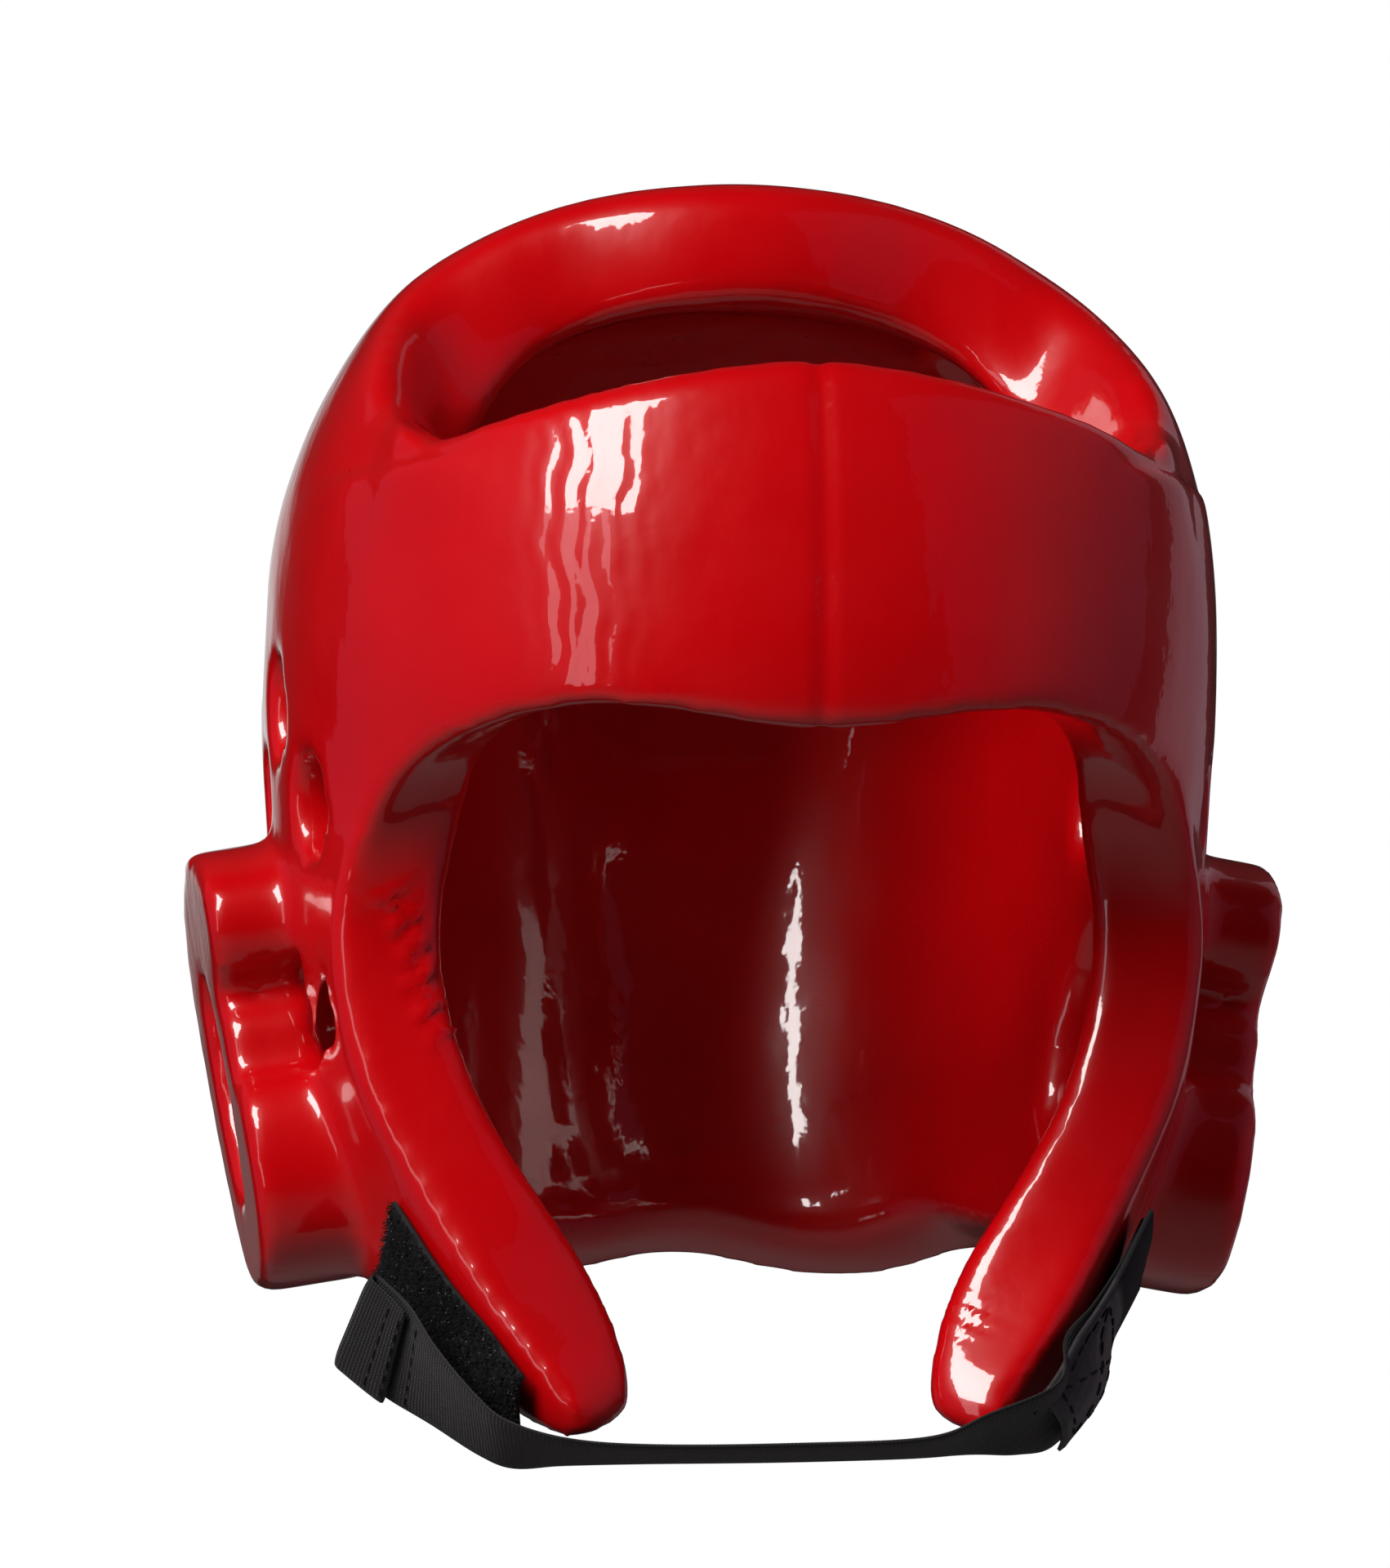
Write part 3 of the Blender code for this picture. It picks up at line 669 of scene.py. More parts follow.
def shell_grid():
    """The outer skin as places, faces and the way into the foam at each place."""
    places, faces, sideways = [], [], []
    middle = {}
    for side in (-1.0, 1.0):
        index = []
        for number, row in enumerate(RIM_ROWS):
            line = []
            for column, point in enumerate(row_points(row, side)):
                if column == PANEL_COLUMNS + TOP_COLUMNS and number in middle:
                    line.append(middle[number])
                    continue
                line.append(len(places))
                places.append(fuller_cheek(point, row[0], column))
                square = smoothstep(-point.z, 0.078, 0.100) * (1.0 - 0.8 * smoothstep(-point.z, 0.190, 0.220))
                share = {PANEL_COLUMNS: 0.92, PANEL_COLUMNS - 1: 0.45}.get(column, 0.0)
                sideways.append(square * share if row[0] == "face" else 0.0)
                if column == PANEL_COLUMNS + TOP_COLUMNS:
                    middle[number] = line[-1]
            index.append(line)
        for number, row in enumerate(RIM_ROWS):
            here, there = index[number], index[(number + 1) % len(RIM_ROWS)]
            columns = PANEL_COLUMNS if row[0] == "band_top" else min(len(here), len(there)) - 1
            for column in range(columns):
                face = [here[column], here[column + 1], there[column + 1], there[column]]
                faces.append(face[::-1] if side > 0.0 else face)
    return places, faces, sideways


def softness_of(place, outer):
    """How sharp the rim of an opening is at a place."""
    if place.z > -0.035 and place.y > -0.066:
        return 0.12 if outer else 0.30
    if place.y < -0.07 and place.z > -0.06:
        return 0.30
    return 0.50 if outer else 0.25


def foam_at(place):
    """Thickness of the foam at a place; the arch is a little thicker."""
    front = smoothstep(place.y, -0.075, -0.060) * (1.0 - smoothstep(place.y, -0.015, 0.020))
    arch = ARCH_EXTRA * front * smoothstep(place.z, -0.045, -0.020)
    return FOAM + arch + cheek_change(place.y, place.z)


def shell_mesh():
    """The foam wall of the shell, smooth, with the rims of its openings rounded each in its own way."""
    places, faces, sideways = shell_grid()
    work = bmesh.new()
    points = [work.verts.new(place) for place in places]
    for face in faces:
        work.faces.new([points[k] for k in face])
    bmesh.ops.recalc_face_normals(work, faces=work.faces)
    core = Vector((0.0, 0.0, AXIS_LEVEL))
    if sum(face.normal.dot(face.calc_center_median() - core) for face in work.faces) < 0.0:
        bmesh.ops.reverse_faces(work, faces=work.faces)
    work.normal_update()
    crease = work.edges.layers.float.new("crease_edge")
    ways = []
    for point, share in zip(points, sideways):
        side = Vector((math.copysign(1.0, point.co.x), 0.0, 0.0))
        way = point.normal.lerp(side, share).normalized()
        even = sum(way.dot(face.normal) for face in point.link_faces) / len(point.link_faces)
        ways.append(way / max(0.75, even))
    inner = [work.verts.new(point.co - way * foam_at(point.co)) for point, way in zip(points, ways)]
    work.verts.index_update()
    rims = [edge for edge in work.edges if edge.is_boundary]
    for face in list(work.faces):
        work.faces.new([inner[v.index] for v in reversed(face.verts)])
    for edge in rims:
        loop = edge.link_loops[0]
        a, b = loop.vert, loop.link_loop_next.vert
        work.faces.new([b, a, inner[a.index], inner[b.index]])
        middle = (a.co + b.co) / 2.0
        edge[crease] = softness_of(middle, True)
        work.edges.get((inner[a.index], inner[b.index]))[crease] = softness_of(middle, False)
    mesh = bpy.data.meshes.new("dipped_body")
    work.to_mesh(mesh)
    work.free()
    return mesh


def ring_solid(rings, closed):
    """A closed solid through rings of equal count; closed joins the last ring to the first."""
    count = len(rings[0])
    verts = [place for ring in rings for place in ring]
    faces = []
    for i in range(len(rings) if closed else len(rings) - 1):
        here, there = i * count, (i + 1) % len(rings) * count
        for k in range(count):
            faces.append((here + k, here + (k + 1) % count, there + (k + 1) % count, there + k))
    if not closed:
        faces.append(tuple(range(count)))
        faces.append(tuple(reversed(range(len(verts) - count, len(verts)))))
    return verts, faces


def solid_object(name, verts, faces):
    """An object of a closed solid with its faces outward."""
    mesh = bpy.data.meshes.new(name)
    mesh.from_pydata([tuple(place) for place in verts], [], faces)
    work = bmesh.new()
    work.from_mesh(mesh)
    bmesh.ops.recalc_face_normals(work, faces=work.faces)
    work.to_mesh(mesh)
    work.free()
    return add_object(name, mesh)


def hole_rings(fore, level, side, half_across, half_along):
    """Rings of a cutter with soft flared ends, through the foam at a place."""
    normal = skin_normal(fore, level, side)
    across = Vector((0.0, 1.0, 0.0))
    across = (across - normal * across.dot(normal)).normalized()
    along = normal.cross(across)
    rings = []
    for depth, size in ((0.007, 1.9), (0.0016, 1.34), (-0.0005, 1.18), (-0.0025, 1.08), (-0.006, 1.0),
                        (-FOAM + 0.005, 1.0), (-FOAM + 0.001, 1.12), (-FOAM - 0.006, 1.9)):
        grow = (size - 1.0) * half_across
        ring = []
        for k in range(32):
            angle = math.tau * k / 32
            ring.append(skin_point(fore, level, side) + normal * depth
                        + across * math.cos(angle) * (half_across + grow)
                        + along * math.sin(angle) * (half_along + grow))
        rings.append(ring)
    return rings


def bore_holes(shell):
    """Cut the vents and the crown slots through the foam."""
    cutters = []
    for side in (-1.0, 1.0):
        for fore, height in VENTS:
            rings = hole_rings(fore_at(fore), level_at(height), side, VENT_SIZE[0] / 2.0, VENT_SIZE[1] / 2.0)
            cutters.append(solid_object("hole", *ring_solid(rings, False)))
        rings = hole_rings(fore_at(SLOT_CENTRE[0]), level_at(SLOT_CENTRE[1]), side,
                           SLOT_SIZE[0] / 2.0, SLOT_SIZE[1] / 2.0)
        cutters.append(solid_object("hole", *ring_solid(rings, False)))
    pick(*cutters)
    bpy.ops.object.join()
    use_modifier(shell, "BOOLEAN", operation="DIFFERENCE", solver="EXACT", object=cutters[0])
    bpy.data.objects.remove(cutters[0])


def guard_object(name, side):
    """One lobed ear guard with its slot, sunk a little into the skin."""
    centre_y, centre_z = fore_at(GUARD_CENTRE[0]), level_at(GUARD_CENTRE[1])
    outline = [(centre_y + fore * GUARD_DEPTH, centre_z + height * GUARD_HEIGHT) for fore, height in GUARD_OUTLINE]
    slot_y = centre_y + GUARD_SLOT_CENTRE[0] * GUARD_DEPTH
    slot_z = centre_z + GUARD_SLOT_CENTRE[1] * GUARD_HEIGHT
    slot = []
    for y, z in outline:
        angle = math.atan2((z - slot_z) / GUARD_HEIGHT, (y - slot_y) / GUARD_DEPTH)
        high = slot_z + GUARD_SLOT[1] / 2.0 * math.sin(angle)
        slot.append((slot_y + GUARD_SLOT[0] / 2.0 * math.cos(angle) + GUARD_SLOT_LEAN * (high - slot_z), high))
    middle = side_at(centre_y, centre_z) + GUARD_RISE
    rings = []
    for share, layer in ((0.0, 0), (0.5, 0), (1.0, 0), (1.0, 1), (1.0, 2), (0.5, 2), (0.0, 2), (0.0, 1)):
        ring = []
        for (inner_y, inner_z), (outer_y, outer_z) in zip(slot, outline):
            y = inner_y + (outer_y - inner_y) * share
            z = inner_z + (outer_z - inner_z) * share
            high = middle + math.tan(GUARD_TILT) * (z - centre_z)
            seat = side_at(y, z)
            low = seat - GUARD_SEAT
            x = high + (low - high) * layer / 2.0
            ring.append(Vector((side * x, y, z - math.tan(GUARD_TILT) * (x - seat))))
        rings.append(ring)
    guard = solid_object(name, *ring_solid(rings, True))
    count = len(outline)
    crease = guard.data.attributes.new("crease_edge", "FLOAT", "EDGE")
    for edge in guard.data.edges:
        a, b = (index // count for index in edge.vertices)
        if a == b and a in (0, 2, 4, 6):
            crease.data[edge.index].value = 0.72
    use_modifier(guard, "SUBSURF", levels=3, render_levels=3)
    return guard


def relax(mesh, rounds, share, hold=None):
    """Even out a mesh; hold is 1 where a point stays."""
    places = places_of(mesh)
    ends = ends_of(mesh)
    free = 1.0 if hold is None else (1.0 - hold)[:, None]
    for _ in range(rounds):
        places += pull_of(places, ends) * share * free
    put_places(mesh, places)


def set_back_arch(mesh):
    """Turn the front of the arch outward toward its feet, where the foam bends round."""
    places = places_of(mesh)
    x, y, z = np.abs(places[:, 0]), places[:, 1], places[:, 2]
    x = x - 0.006 * smoothstep(z, -0.030, 0.000) * smoothstep(x, 0.030, 0.055)
    across, setback = np.array(ARCH_SETBACK).T
    back = sum(np.interp(np.abs(x + shift), across, setback) for shift in (-0.005, -0.0025, 0.0, 0.0025, 0.005)) / 5.0
    face = -0.030 - 0.032 * (x / 0.070) ** 2
    share = smoothstep(z, -0.070, -0.050) * smoothstep(y, -0.074, -0.064)
    places[:, 1] += back * share * (1.0 - smoothstep(y - face, 0.004, 0.050))
    put_places(mesh, places)


def cut_ear_slit(piece):
    """Open the narrow slit between the lobes of each ear guard and the shell."""
    for side in (-1.0, 1.0):
        rings = []
        for number in range(1, 16):
            lean = math.pi * number / 16
            middle = Vector((side * SLIT_CENTRE[0], SLIT_CENTRE[1] - SLIT_SIZE[1] * math.cos(lean), SLIT_CENTRE[2]))
            rings.append([middle + Vector((math.cos(turn) * SLIT_SIZE[0], 0.0, math.sin(turn) * SLIT_SIZE[2]))
                          * math.sin(lean) for turn in (math.tau * k / 20 for k in range(20))])
        cutter = solid_object("slit", *ring_solid(rings, False))
        use_modifier(piece, "BOOLEAN", operation="DIFFERENCE", solver="EXACT", object=cutter)
        bpy.data.objects.remove(cutter)


def press_folds(mesh):
    """The marks of the dipped skin: the groove on the forehead, the step round the sides, small folds."""
    places, normals = places_of(mesh), normals_of(mesh)
    x, y, z = places.T
    outer = ((places - np.array((0.0, 0.0, AXIS_LEVEL))) * normals).sum(axis=1) > 0.0
    lift = -GROOVE_DEPTH * np.exp(-(x / GROOVE_WIDTH) ** 2) * smoothstep(-y, 0.085, 0.100) * smoothstep(z, -0.13, -0.10)
    away = z - STEP_LEVEL
    step = STEP_RISE * np.tanh(-away / 0.0012) * np.exp(-(away / 0.013) ** 2)
    lift += step * outer * (1.0 - smoothstep(y, -0.062, -0.018)) * smoothstep(np.abs(x), 0.058, 0.070)
    for across, level, half_across, half_up, spacing, depth, lean, bend in FOLDS:
        near = np.exp(-np.abs((x - across) / half_across) ** 3 - np.abs((z - level) / half_up) ** 3)
        phase = (z + lean * (x - across) + bend * np.abs(x - across)) / spacing
        lift += depth * np.sin(math.tau * phase) * near * smoothstep(-y, 0.025, 0.035) * (normals[:, 1] < 0.2)
    down = (z - ZIGZAG_TOP[1]) / (ZIGZAG_FOOT[1] - ZIGZAG_TOP[1])
    swing = 0.0032 * (np.abs((down * ZIGZAG_TURNS) % 1.0 * 2.0 - 1.0) * 2.0 - 1.0)
    line = (x - ZIGZAG_TOP[0] - (ZIGZAG_FOOT[0] - ZIGZAG_TOP[0]) * down - swing) / 0.0013
    near = smoothstep(down, -0.08, 0.10) * (1.0 - smoothstep(down, 0.90, 1.08)) * (normals[:, 1] < -0.3)
    lift += (0.0009 * np.exp(-line ** 2) - 0.0003 * np.exp(-((line - 1.8) / 1.2) ** 2)) * near
    streak = np.exp(-((x + 0.044) / 0.011) ** 4) * smoothstep(z, -0.100, -0.080) * smoothstep(-y, 0.085, 0.100)
    phase = (x + 0.0010 * np.sin(z / 0.0055) + 0.0006 * np.sin(z / 0.0021 + x / 0.004)) / 0.0044
    lift += STREAK_DEPTH * np.sin(math.tau * phase) * streak * outer
    swell = np.sin(x / 0.0075 + z / 0.012) * np.sin(z / 0.009 - y / 0.011) * np.sin(y / 0.008 + 1.0)
    put_places(mesh, places + normals * (lift + SWELL_DEPTH * swell)[:, None])


def body_object(spacing):
    """One skin round the shell and its ear guards, with fillets where they meet."""
    shell = add_object("dipped_body", shell_mesh())
    use_modifier(shell, "SUBSURF", levels=3, render_levels=3)
    set_back_arch(shell.data)
    bore_holes(shell)
    guards = [guard_object("ear_guard", side) for side in (-1.0, 1.0)]
    cut_ear_slit(shell)
    for guard in guards:
        cut_ear_slit(guard)
    pick(shell, *guards)
    bpy.ops.object.join()
    use_modifier(shell, "REMESH", mode="VOXEL", voxel_size=spacing, adaptivity=0.0, use_smooth_shade=True)
    relax(shell.data, 10, 0.5)
    press_folds(shell.data)
    return shell


class HEADGUARD_OT_body(bpy.types.Operator):
    """Make the dipped body: the shell and both ear guards under one glossy skin"""

    bl_idname = "headguard.body"
    bl_label = "Dipped Body"

    def execute(self, context):
        sizes = context.scene.head_guard_sizes
        body = body_object(sizes.skin_grain)
        body.data.materials.append(dipped_vinyl(context.scene.head_guard_colours.skin))
        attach(body, "root")
        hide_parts("shell", "ear_guard_right", "ear_guard_left")
        return {"FINISHED"}


# ---------------------------------------------------------------- strap and fastenings


def curve_through(rows, steps):
    """Rows of vectors on a smooth curve through the given rows."""
    made = []
    last = len(rows) - 1
    for number in range(last + 1):
        near = [rows[min(last, max(0, number + shift))] for shift in (-1, 0, 1, 2)]
        for step in range(steps if number < last else 1):
            t = step / steps
            weights = ((-t ** 3 + 2 * t ** 2 - t) / 2, (3 * t ** 3 - 5 * t ** 2 + 2) / 2,
                       (-3 * t ** 3 + 4 * t ** 2 + t) / 2, (t ** 3 - t ** 2) / 2)
            made.append([sum((row[k] * weight for row, weight in zip(near, weights)), Vector())
                         for k in range(len(rows[0]))])
    return made


def slab_mesh(name, rows, looks, low, high, rim):
    """A thin slab from low to high along the way each place looks, thinner by the rim share at its border."""
    count, across = len(rows), len(rows[0])
    middle = (low + high) / 2.0
    verts = []
    for layer in (low, high):
        for i in range(count):
            for j in range(across):
                border = i in (0, count - 1) or j in (0, across - 1)
                lift = middle + (layer - middle) * (rim if border else 1.0)
                verts.append(rows[i][j] + looks[i][j] * lift)
    total = count * across
    faces = []
    for i in range(count - 1):
        for j in range(across - 1):
            a = i * across + j
            faces.append((a, a + 1, a + across + 1, a + across))
            faces.append((total + a, total + a + across, total + a + across + 1, total + a + 1))
    edge = [*range(across), *(i * across + across - 1 for i in range(1, count)),
            *range(total - 2, total - across - 1, -1), *(i * across for i in range(count - 2, 0, -1))]
    for a, b in zip(edge, edge[1:] + edge[:1]):
        faces.append((a, total + a, total + b, b))
    mesh = bpy.data.meshes.new(name)
    mesh.from_pydata([tuple(place) for place in verts], [], faces)
    work = bmesh.new()
    work.from_mesh(mesh)
    bmesh.ops.recalc_face_normals(work, faces=work.faces)
    work.to_mesh(mesh)
    work.free()
    run, span = [0.0], [0.0]
    for before, after in zip(rows, rows[1:]):
        run.append(run[-1] + (after[across // 2] - before[across // 2]).length)
    for before, after in zip(rows[0], rows[0][1:]):
        span.append(span[-1] + (after - before).length)
    layer = mesh.uv_layers.new(name="UVMap")
    for loop in mesh.loops:
        i, j = divmod(loop.vertex_index % total, across)
        layer.data[loop.index].uv = (run[i], span[j])
    for face in mesh.polygons:
        face.use_smooth = True
    return mesh


def spot_on(rows, along, across):
    """Place on a sheet of rows, at shares of its length and width."""
    i = min(along * (len(rows) - 1), len(rows) - 1.001)
    j = min(across * (len(rows[0]) - 1), len(rows[0]) - 1.001)
    a, b = int(i), int(j)
    near = rows[a][b].lerp(rows[a][b + 1], j - b)
    return near.lerp(rows[a + 1][b].lerp(rows[a + 1][b + 1], j - b), i - a)


def add_stitches(name, rows, looks, seams, lift, length):
    """Small raised stitches along seams on a sheet; each seam goes from one pair of shares to another."""
    verts, faces = [], []
    for first, last in seams:
        ends = [spot_on(rows, *first), spot_on(rows, *last)]
        count = max(1, round((ends[1] - ends[0]).length / (length * 1.35)))
        for number in range(count):
            share = (number + 0.5) / count
            pair = [first[k] + (last[k] - first[k]) * share for k in (0, 1)]
            look = spot_on(looks, *pair).normalized()
            way = ends[1] - ends[0]
            way = (way - look * way.dot(look)).normalized()
            side = look.cross(way)
            centre = spot_on(rows, *pair) + look * lift
            for shift, size in ((-0.5, 0.35), (-0.34, 0.85), (0.0, 1.0), (0.34, 0.85), (0.5, 0.35)):
                for k in range(6):
                    turn = math.tau * k / 6
                    verts.append(centre + way * shift * length + side * math.cos(turn) * THREAD * size
                                 + look * math.sin(turn) * THREAD * 0.7 * size)
            base = len(verts) - 30
            for ring in range(4):
                for k in range(6):
                    a, b = base + ring * 6 + k, base + ring * 6 + (k + 1) % 6
                    faces.append((a, b, b + 6, a + 6))
            faces.append(tuple(base + k for k in reversed(range(6))))
            faces.append(tuple(base + 24 + k for k in range(6)))
    return solid_object(name, verts, faces)


def join_piece(piece, *extras):
    """Make extras part of a piece, each with the piece's own finish unless it has one."""
    for extra in extras:
        if not extra.data.materials:
            extra.data.materials.append(piece.data.materials[0])
        for face in extra.data.polygons:
            face.use_smooth = True
    pick(piece, *extras)
    bpy.ops.object.join()


def strap_rows(width, thick):
    """Rows of places across the strap and the way each one looks, from under the tab to its folded end."""
    stations = []
    for fore, drop in ANCHOR_PATH:
        y, z = fore_at(fore + 0.020), level_at(drop)
        stations.append((skin_point(y, z, 1.0), skin_normal(y, z, 1.0)))
    for side, fore, drop, *face in FREE_PATH:
        place = Vector((side * HALF_WIDTH, fore_at(fore), level_at(drop)))
        stations.append((place, Vector(face).normalized()))
    last = len(stations) - 1
    lines = []
    for number, (place, face) in enumerate(stations):
        way = (stations[min(last, number + 1)][0] - stations[max(0, number - 1)][0]).normalized()
        face = (face - way * face.dot(way)).normalized()
        across = way.cross(face)
        spots, faces = [], []
        for k in range(STRAP_COLUMNS):
            spot = place + across * ((k / (STRAP_COLUMNS - 1) - 0.5) * width)
            look = face
            if number < len(ANCHOR_PATH):
                look = skin_normal(spot.y, spot.z, 1.0)
                spot = skin_point(spot.y, spot.z, 1.0) + look * (GAP * 2.5 + thick / 2.0)
            spots.append(spot)
            faces.append(look)
        lines.append(spots + faces)
    lines = curve_through(lines, 7)
    rows = [line[:STRAP_COLUMNS] for line in lines]
    looks = [[look.normalized() for look in line[STRAP_COLUMNS:]] for line in lines]
    way = (rows[-1][4] - rows[-2][4]).normalized()
    look = looks[-1][4]
    lift = thick + HEM_GAP
    for turn in (45.0, 90.0, 135.0, 180.0):
        lean = math.radians(turn)
        shift = way * math.sin(lean) * lift / 2.0 + look * (1.0 - math.cos(lean)) * lift / 2.0
        rows.append([spot + shift for spot in rows[len(lines) - 1]])
        looks.append([look * math.cos(lean) - way * math.sin(lean)] * STRAP_COLUMNS)
    run, number = 0.0, len(lines) - 1
    while run < HEM_LENGTH:
        run += (rows[number][4] - rows[number - 1][4]).length
        number -= 1
        rows.append([spot + face * lift for spot, face in zip(rows[number], looks[number])])
        looks.append([-face for face in looks[number]])
    return rows, looks, len(lines)


class HEADGUARD_OT_strap(bpy.types.Operator):
    """Make the chin strap of black webbing, with its folded and stitched end"""

    bl_idname = "headguard.strap"
    bl_label = "Chin Strap"

    def execute(self, context):
        sizes = context.scene.head_guard_sizes
        thick = sizes.strap_thickness
        rows, looks, open_rows = strap_rows(sizes.strap_width, thick)
        strap = add_object("webbing_strap", slab_mesh("webbing_strap", rows, looks, -thick / 2.0, thick / 2.0, 0.45))
        use_modifier(strap, "SUBSURF", levels=1, render_levels=1)
        strap.data.materials.append(
            woven("Black webbing", context.scene.head_guard_colours.webbing, 420.0, 0.75))
        seams = [((share, 0.06), (share, 0.94)) for share in (0.972, 0.993)]
        hem = add_stitches("hem_stitches", rows, [[-look for look in row] for row in looks], seams,
                           thick / 2.0 + 0.0001, sizes.stitch_length)
        under = [((0.985 * open_rows / len(rows) - 0.08, 0.05), (0.985 * open_rows / len(rows) - 0.08, 0.95))]
        seam = add_stitches("cross_stitches", rows, looks, under, thick / 2.0 + 0.0001, sizes.stitch_length)
        join_piece(strap, hem, seam)
        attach(strap, "root")
        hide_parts("chin_strap")
        return {"FINISHED"}


def pad_rows(corners, side, across, along):
    """Rows of places on a cheek between four corners, and the way each one looks."""
    spots = [(fore_at(fore), level_at(drop)) for fore, drop in corners]
    rows, looks = [], []
    for i in range(along):
        share = i / (along - 1)
        front = [spots[0][k] + (spots[1][k] - spots[0][k]) * share for k in (0, 1)]
        rear = [spots[3][k] + (spots[2][k] - spots[3][k]) * share for k in (0, 1)]
        row, look = [], []
        for j in range(across):
            t = j / (across - 1)
            y = front[0] + (rear[0] - front[0]) * t
            z = front[1] + (rear[1] - front[1]) * t
            row.append(skin_point(y, z, side))
            look.append(skin_normal(y, z, side))
        rows.append(row)
        looks.append(look)
    return rows, looks


def pile_object(name, rows, looks, lift, height, count):
    """Loose loops of pile standing on a sheet: thin bent fibres, each with two bows and three sides."""
    chance = random.Random(7)
    verts, faces = [], []
    for _ in range(count):
        pair = (chance.random(), chance.random())
        look = spot_on(looks, *pair).normalized()
        foot = spot_on(rows, *pair) + look * lift
        side = look.orthogonal().normalized()
        side = (Matrix.Rotation(chance.uniform(0.0, math.tau), 3, look) @ side).normalized()
        tall, lean = height * chance.uniform(0.5, 1.25), height * chance.uniform(0.3, 1.1)
        across = look.cross(side)
        bow = [foot, foot + look * tall * 0.75 + side * lean * 0.15, foot + look * tall + side * lean * 0.6,
               foot + look * tall * 0.45 + side * lean * 1.15]
        base = len(verts)
        for spot, size in zip(bow, (1.0, 1.0, 0.9, 0.6)):
            for k in range(3):
                turn = math.tau * k / 3
                verts.append(spot + (side * math.cos(turn) + across * math.sin(turn)) * FIBRE * size)
        for ring in range(3):
            for k in range(3):
                a, b = base + ring * 3 + k, base + ring * 3 + (k + 1) % 3
                faces.append((a, b, b + 3, a + 3))
        faces.append((base + 2, base + 1, base))
        faces.append((base + 9, base + 10, base + 11))
    return solid_object(name, verts, faces)


class HEADGUARD_OT_patch(bpy.types.Operator):
    """Make the loop patch on the right cheek, with its pile"""

    bl_idname = "headguard.patch"
    bl_label = "Loop Patch"

    def execute(self, context):
        sizes = context.scene.head_guard_sizes
        rows, looks = pad_rows(PATCH_CORNERS, -1.0, 26, 36)
        top = GAP + sizes.patch_thickness
        patch = add_object("fleece_patch", slab_mesh("fleece_patch", rows, looks, GAP, top, 0.6))
        colour = context.scene.head_guard_colours.pile
        patch.data.materials.append(plain_finish("Black loop pile", colour, 0.9, 900.0, 0.0006))
        pile = pile_object("pile", rows, looks, top - 0.0002, sizes.pile_height, 6000)
        lint = pile_object("lint", rows[::-1], looks[::-1], top + 0.0003, sizes.pile_height * 0.4, 170)
        lint.data.materials.append(plain_finish("Pale lint", (0.35, 0.35, 0.34), 0.9, 900.0, 0.0001))
        join_piece(patch, pile, lint)
        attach(patch, "root")
        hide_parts("loop_patch")
        return {"FINISHED"}


class HEADGUARD_OT_tab(bpy.types.Operator):
    """Make the stitched tab that holds the strap on the left cheek"""

    bl_idname = "headguard.tab"
    bl_label = "Stitched Tab"

    def execute(self, context):
        sizes = context.scene.head_guard_sizes
        lift = GAP * 4.0 + sizes.strap_thickness
        rows, looks = pad_rows(TAB_CORNERS, 1.0, 26, 44)
        seams = [((0.48, 0.10), (0.94, 0.90)), ((0.48, 0.90), (0.94, 0.10)), ((0.48, 0.10), (0.94, 0.10)),
                 ((0.48, 0.90), (0.94, 0.90)), ((0.48, 0.10), (0.48, 0.90)), ((0.94, 0.10), (0.94, 0.90))]
        lines = [(spot_on(rows, *first), spot_on(rows, *last)) for first, last in seams]
        sunk = []
        for row, look in zip(rows, looks):
            made = []
            for place, way in zip(row, look):
                near = min(distance_to(place, *line) for line in lines)
                made.append(place - way * 0.00035 * math.exp(-(near / 0.0011) ** 2))
            sunk.append(made)
        tab = add_object("stitched_tab", slab_mesh("stitched_tab", sunk, looks, lift, lift + sizes.tab_thickness, 0.5))
        tab.data.materials.append(tab_finish(context.scene.head_guard_colours.tab))
        stitches = add_stitches("tab_stitches", sunk, looks, seams, lift + sizes.tab_thickness + 0.0001,
                                sizes.stitch_length)
        end = rows[-1][0] + looks[-1][0] * lift
        thread = [end, end + Vector((-0.0002, 0.0, -0.0016)), end + Vector((-0.0001, 0.0004, -0.0034))]
        rings = [[spot + Vector((math.cos(math.tau * k / 6), math.sin(math.tau * k / 6), 0.0)) * 0.0003
                  for k in range(6)] for spot in thread]
        loose = solid_object("loose_thread", *ring_solid(rings, False))
        join_piece(tab, stitches, loose)
        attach(tab, "root")
        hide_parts("anchor_tab")
        return {"FINISHED"}


# ---------------------------------------------------------------- studio

MIDDLE = Vector((0.0, 0.0, -0.104))
PANEL_DISTANCE = 2.0
FLOOR_LEVEL = -1.3

# Lights: name, turn, rise, width and height in degrees, brightness, colour, whether the gloss mirrors it
PANELS = (
    ("key", -44.0, 33.0, 20.0, 32.0, 17.5, (1.0, 0.97, 0.95), True),
    ("left wall", -95.0, 10.0, 75.0, 80.0, 0.10, (1.0, 0.55, 0.95), True),
    ("right wall", 68.0, 10.0, 76.0, 80.0, 0.08, (1.0, 0.50, 0.95), True),
    ("right far wall", 132.0, 10.0, 28.0, 80.0, 0.20, (1.0, 0.80, 0.95), True),
    ("low streak", -50.0, 0.0, 10.0, 34.0, 2.2, (1.0, 0.85, 0.9), True),
    ("left fill", -100.0, 15.0, 60.0, 60.0, 0.22, (1.0, 1.0, 1.0), False),
    ("right fill", 80.0, 15.0, 60.0, 60.0, 0.55, (1.0, 1.0, 1.0), False),
    ("back fill", 180.0, 35.0, 60.0, 40.0, 2.0, (1.0, 1.0, 1.0), False),
)


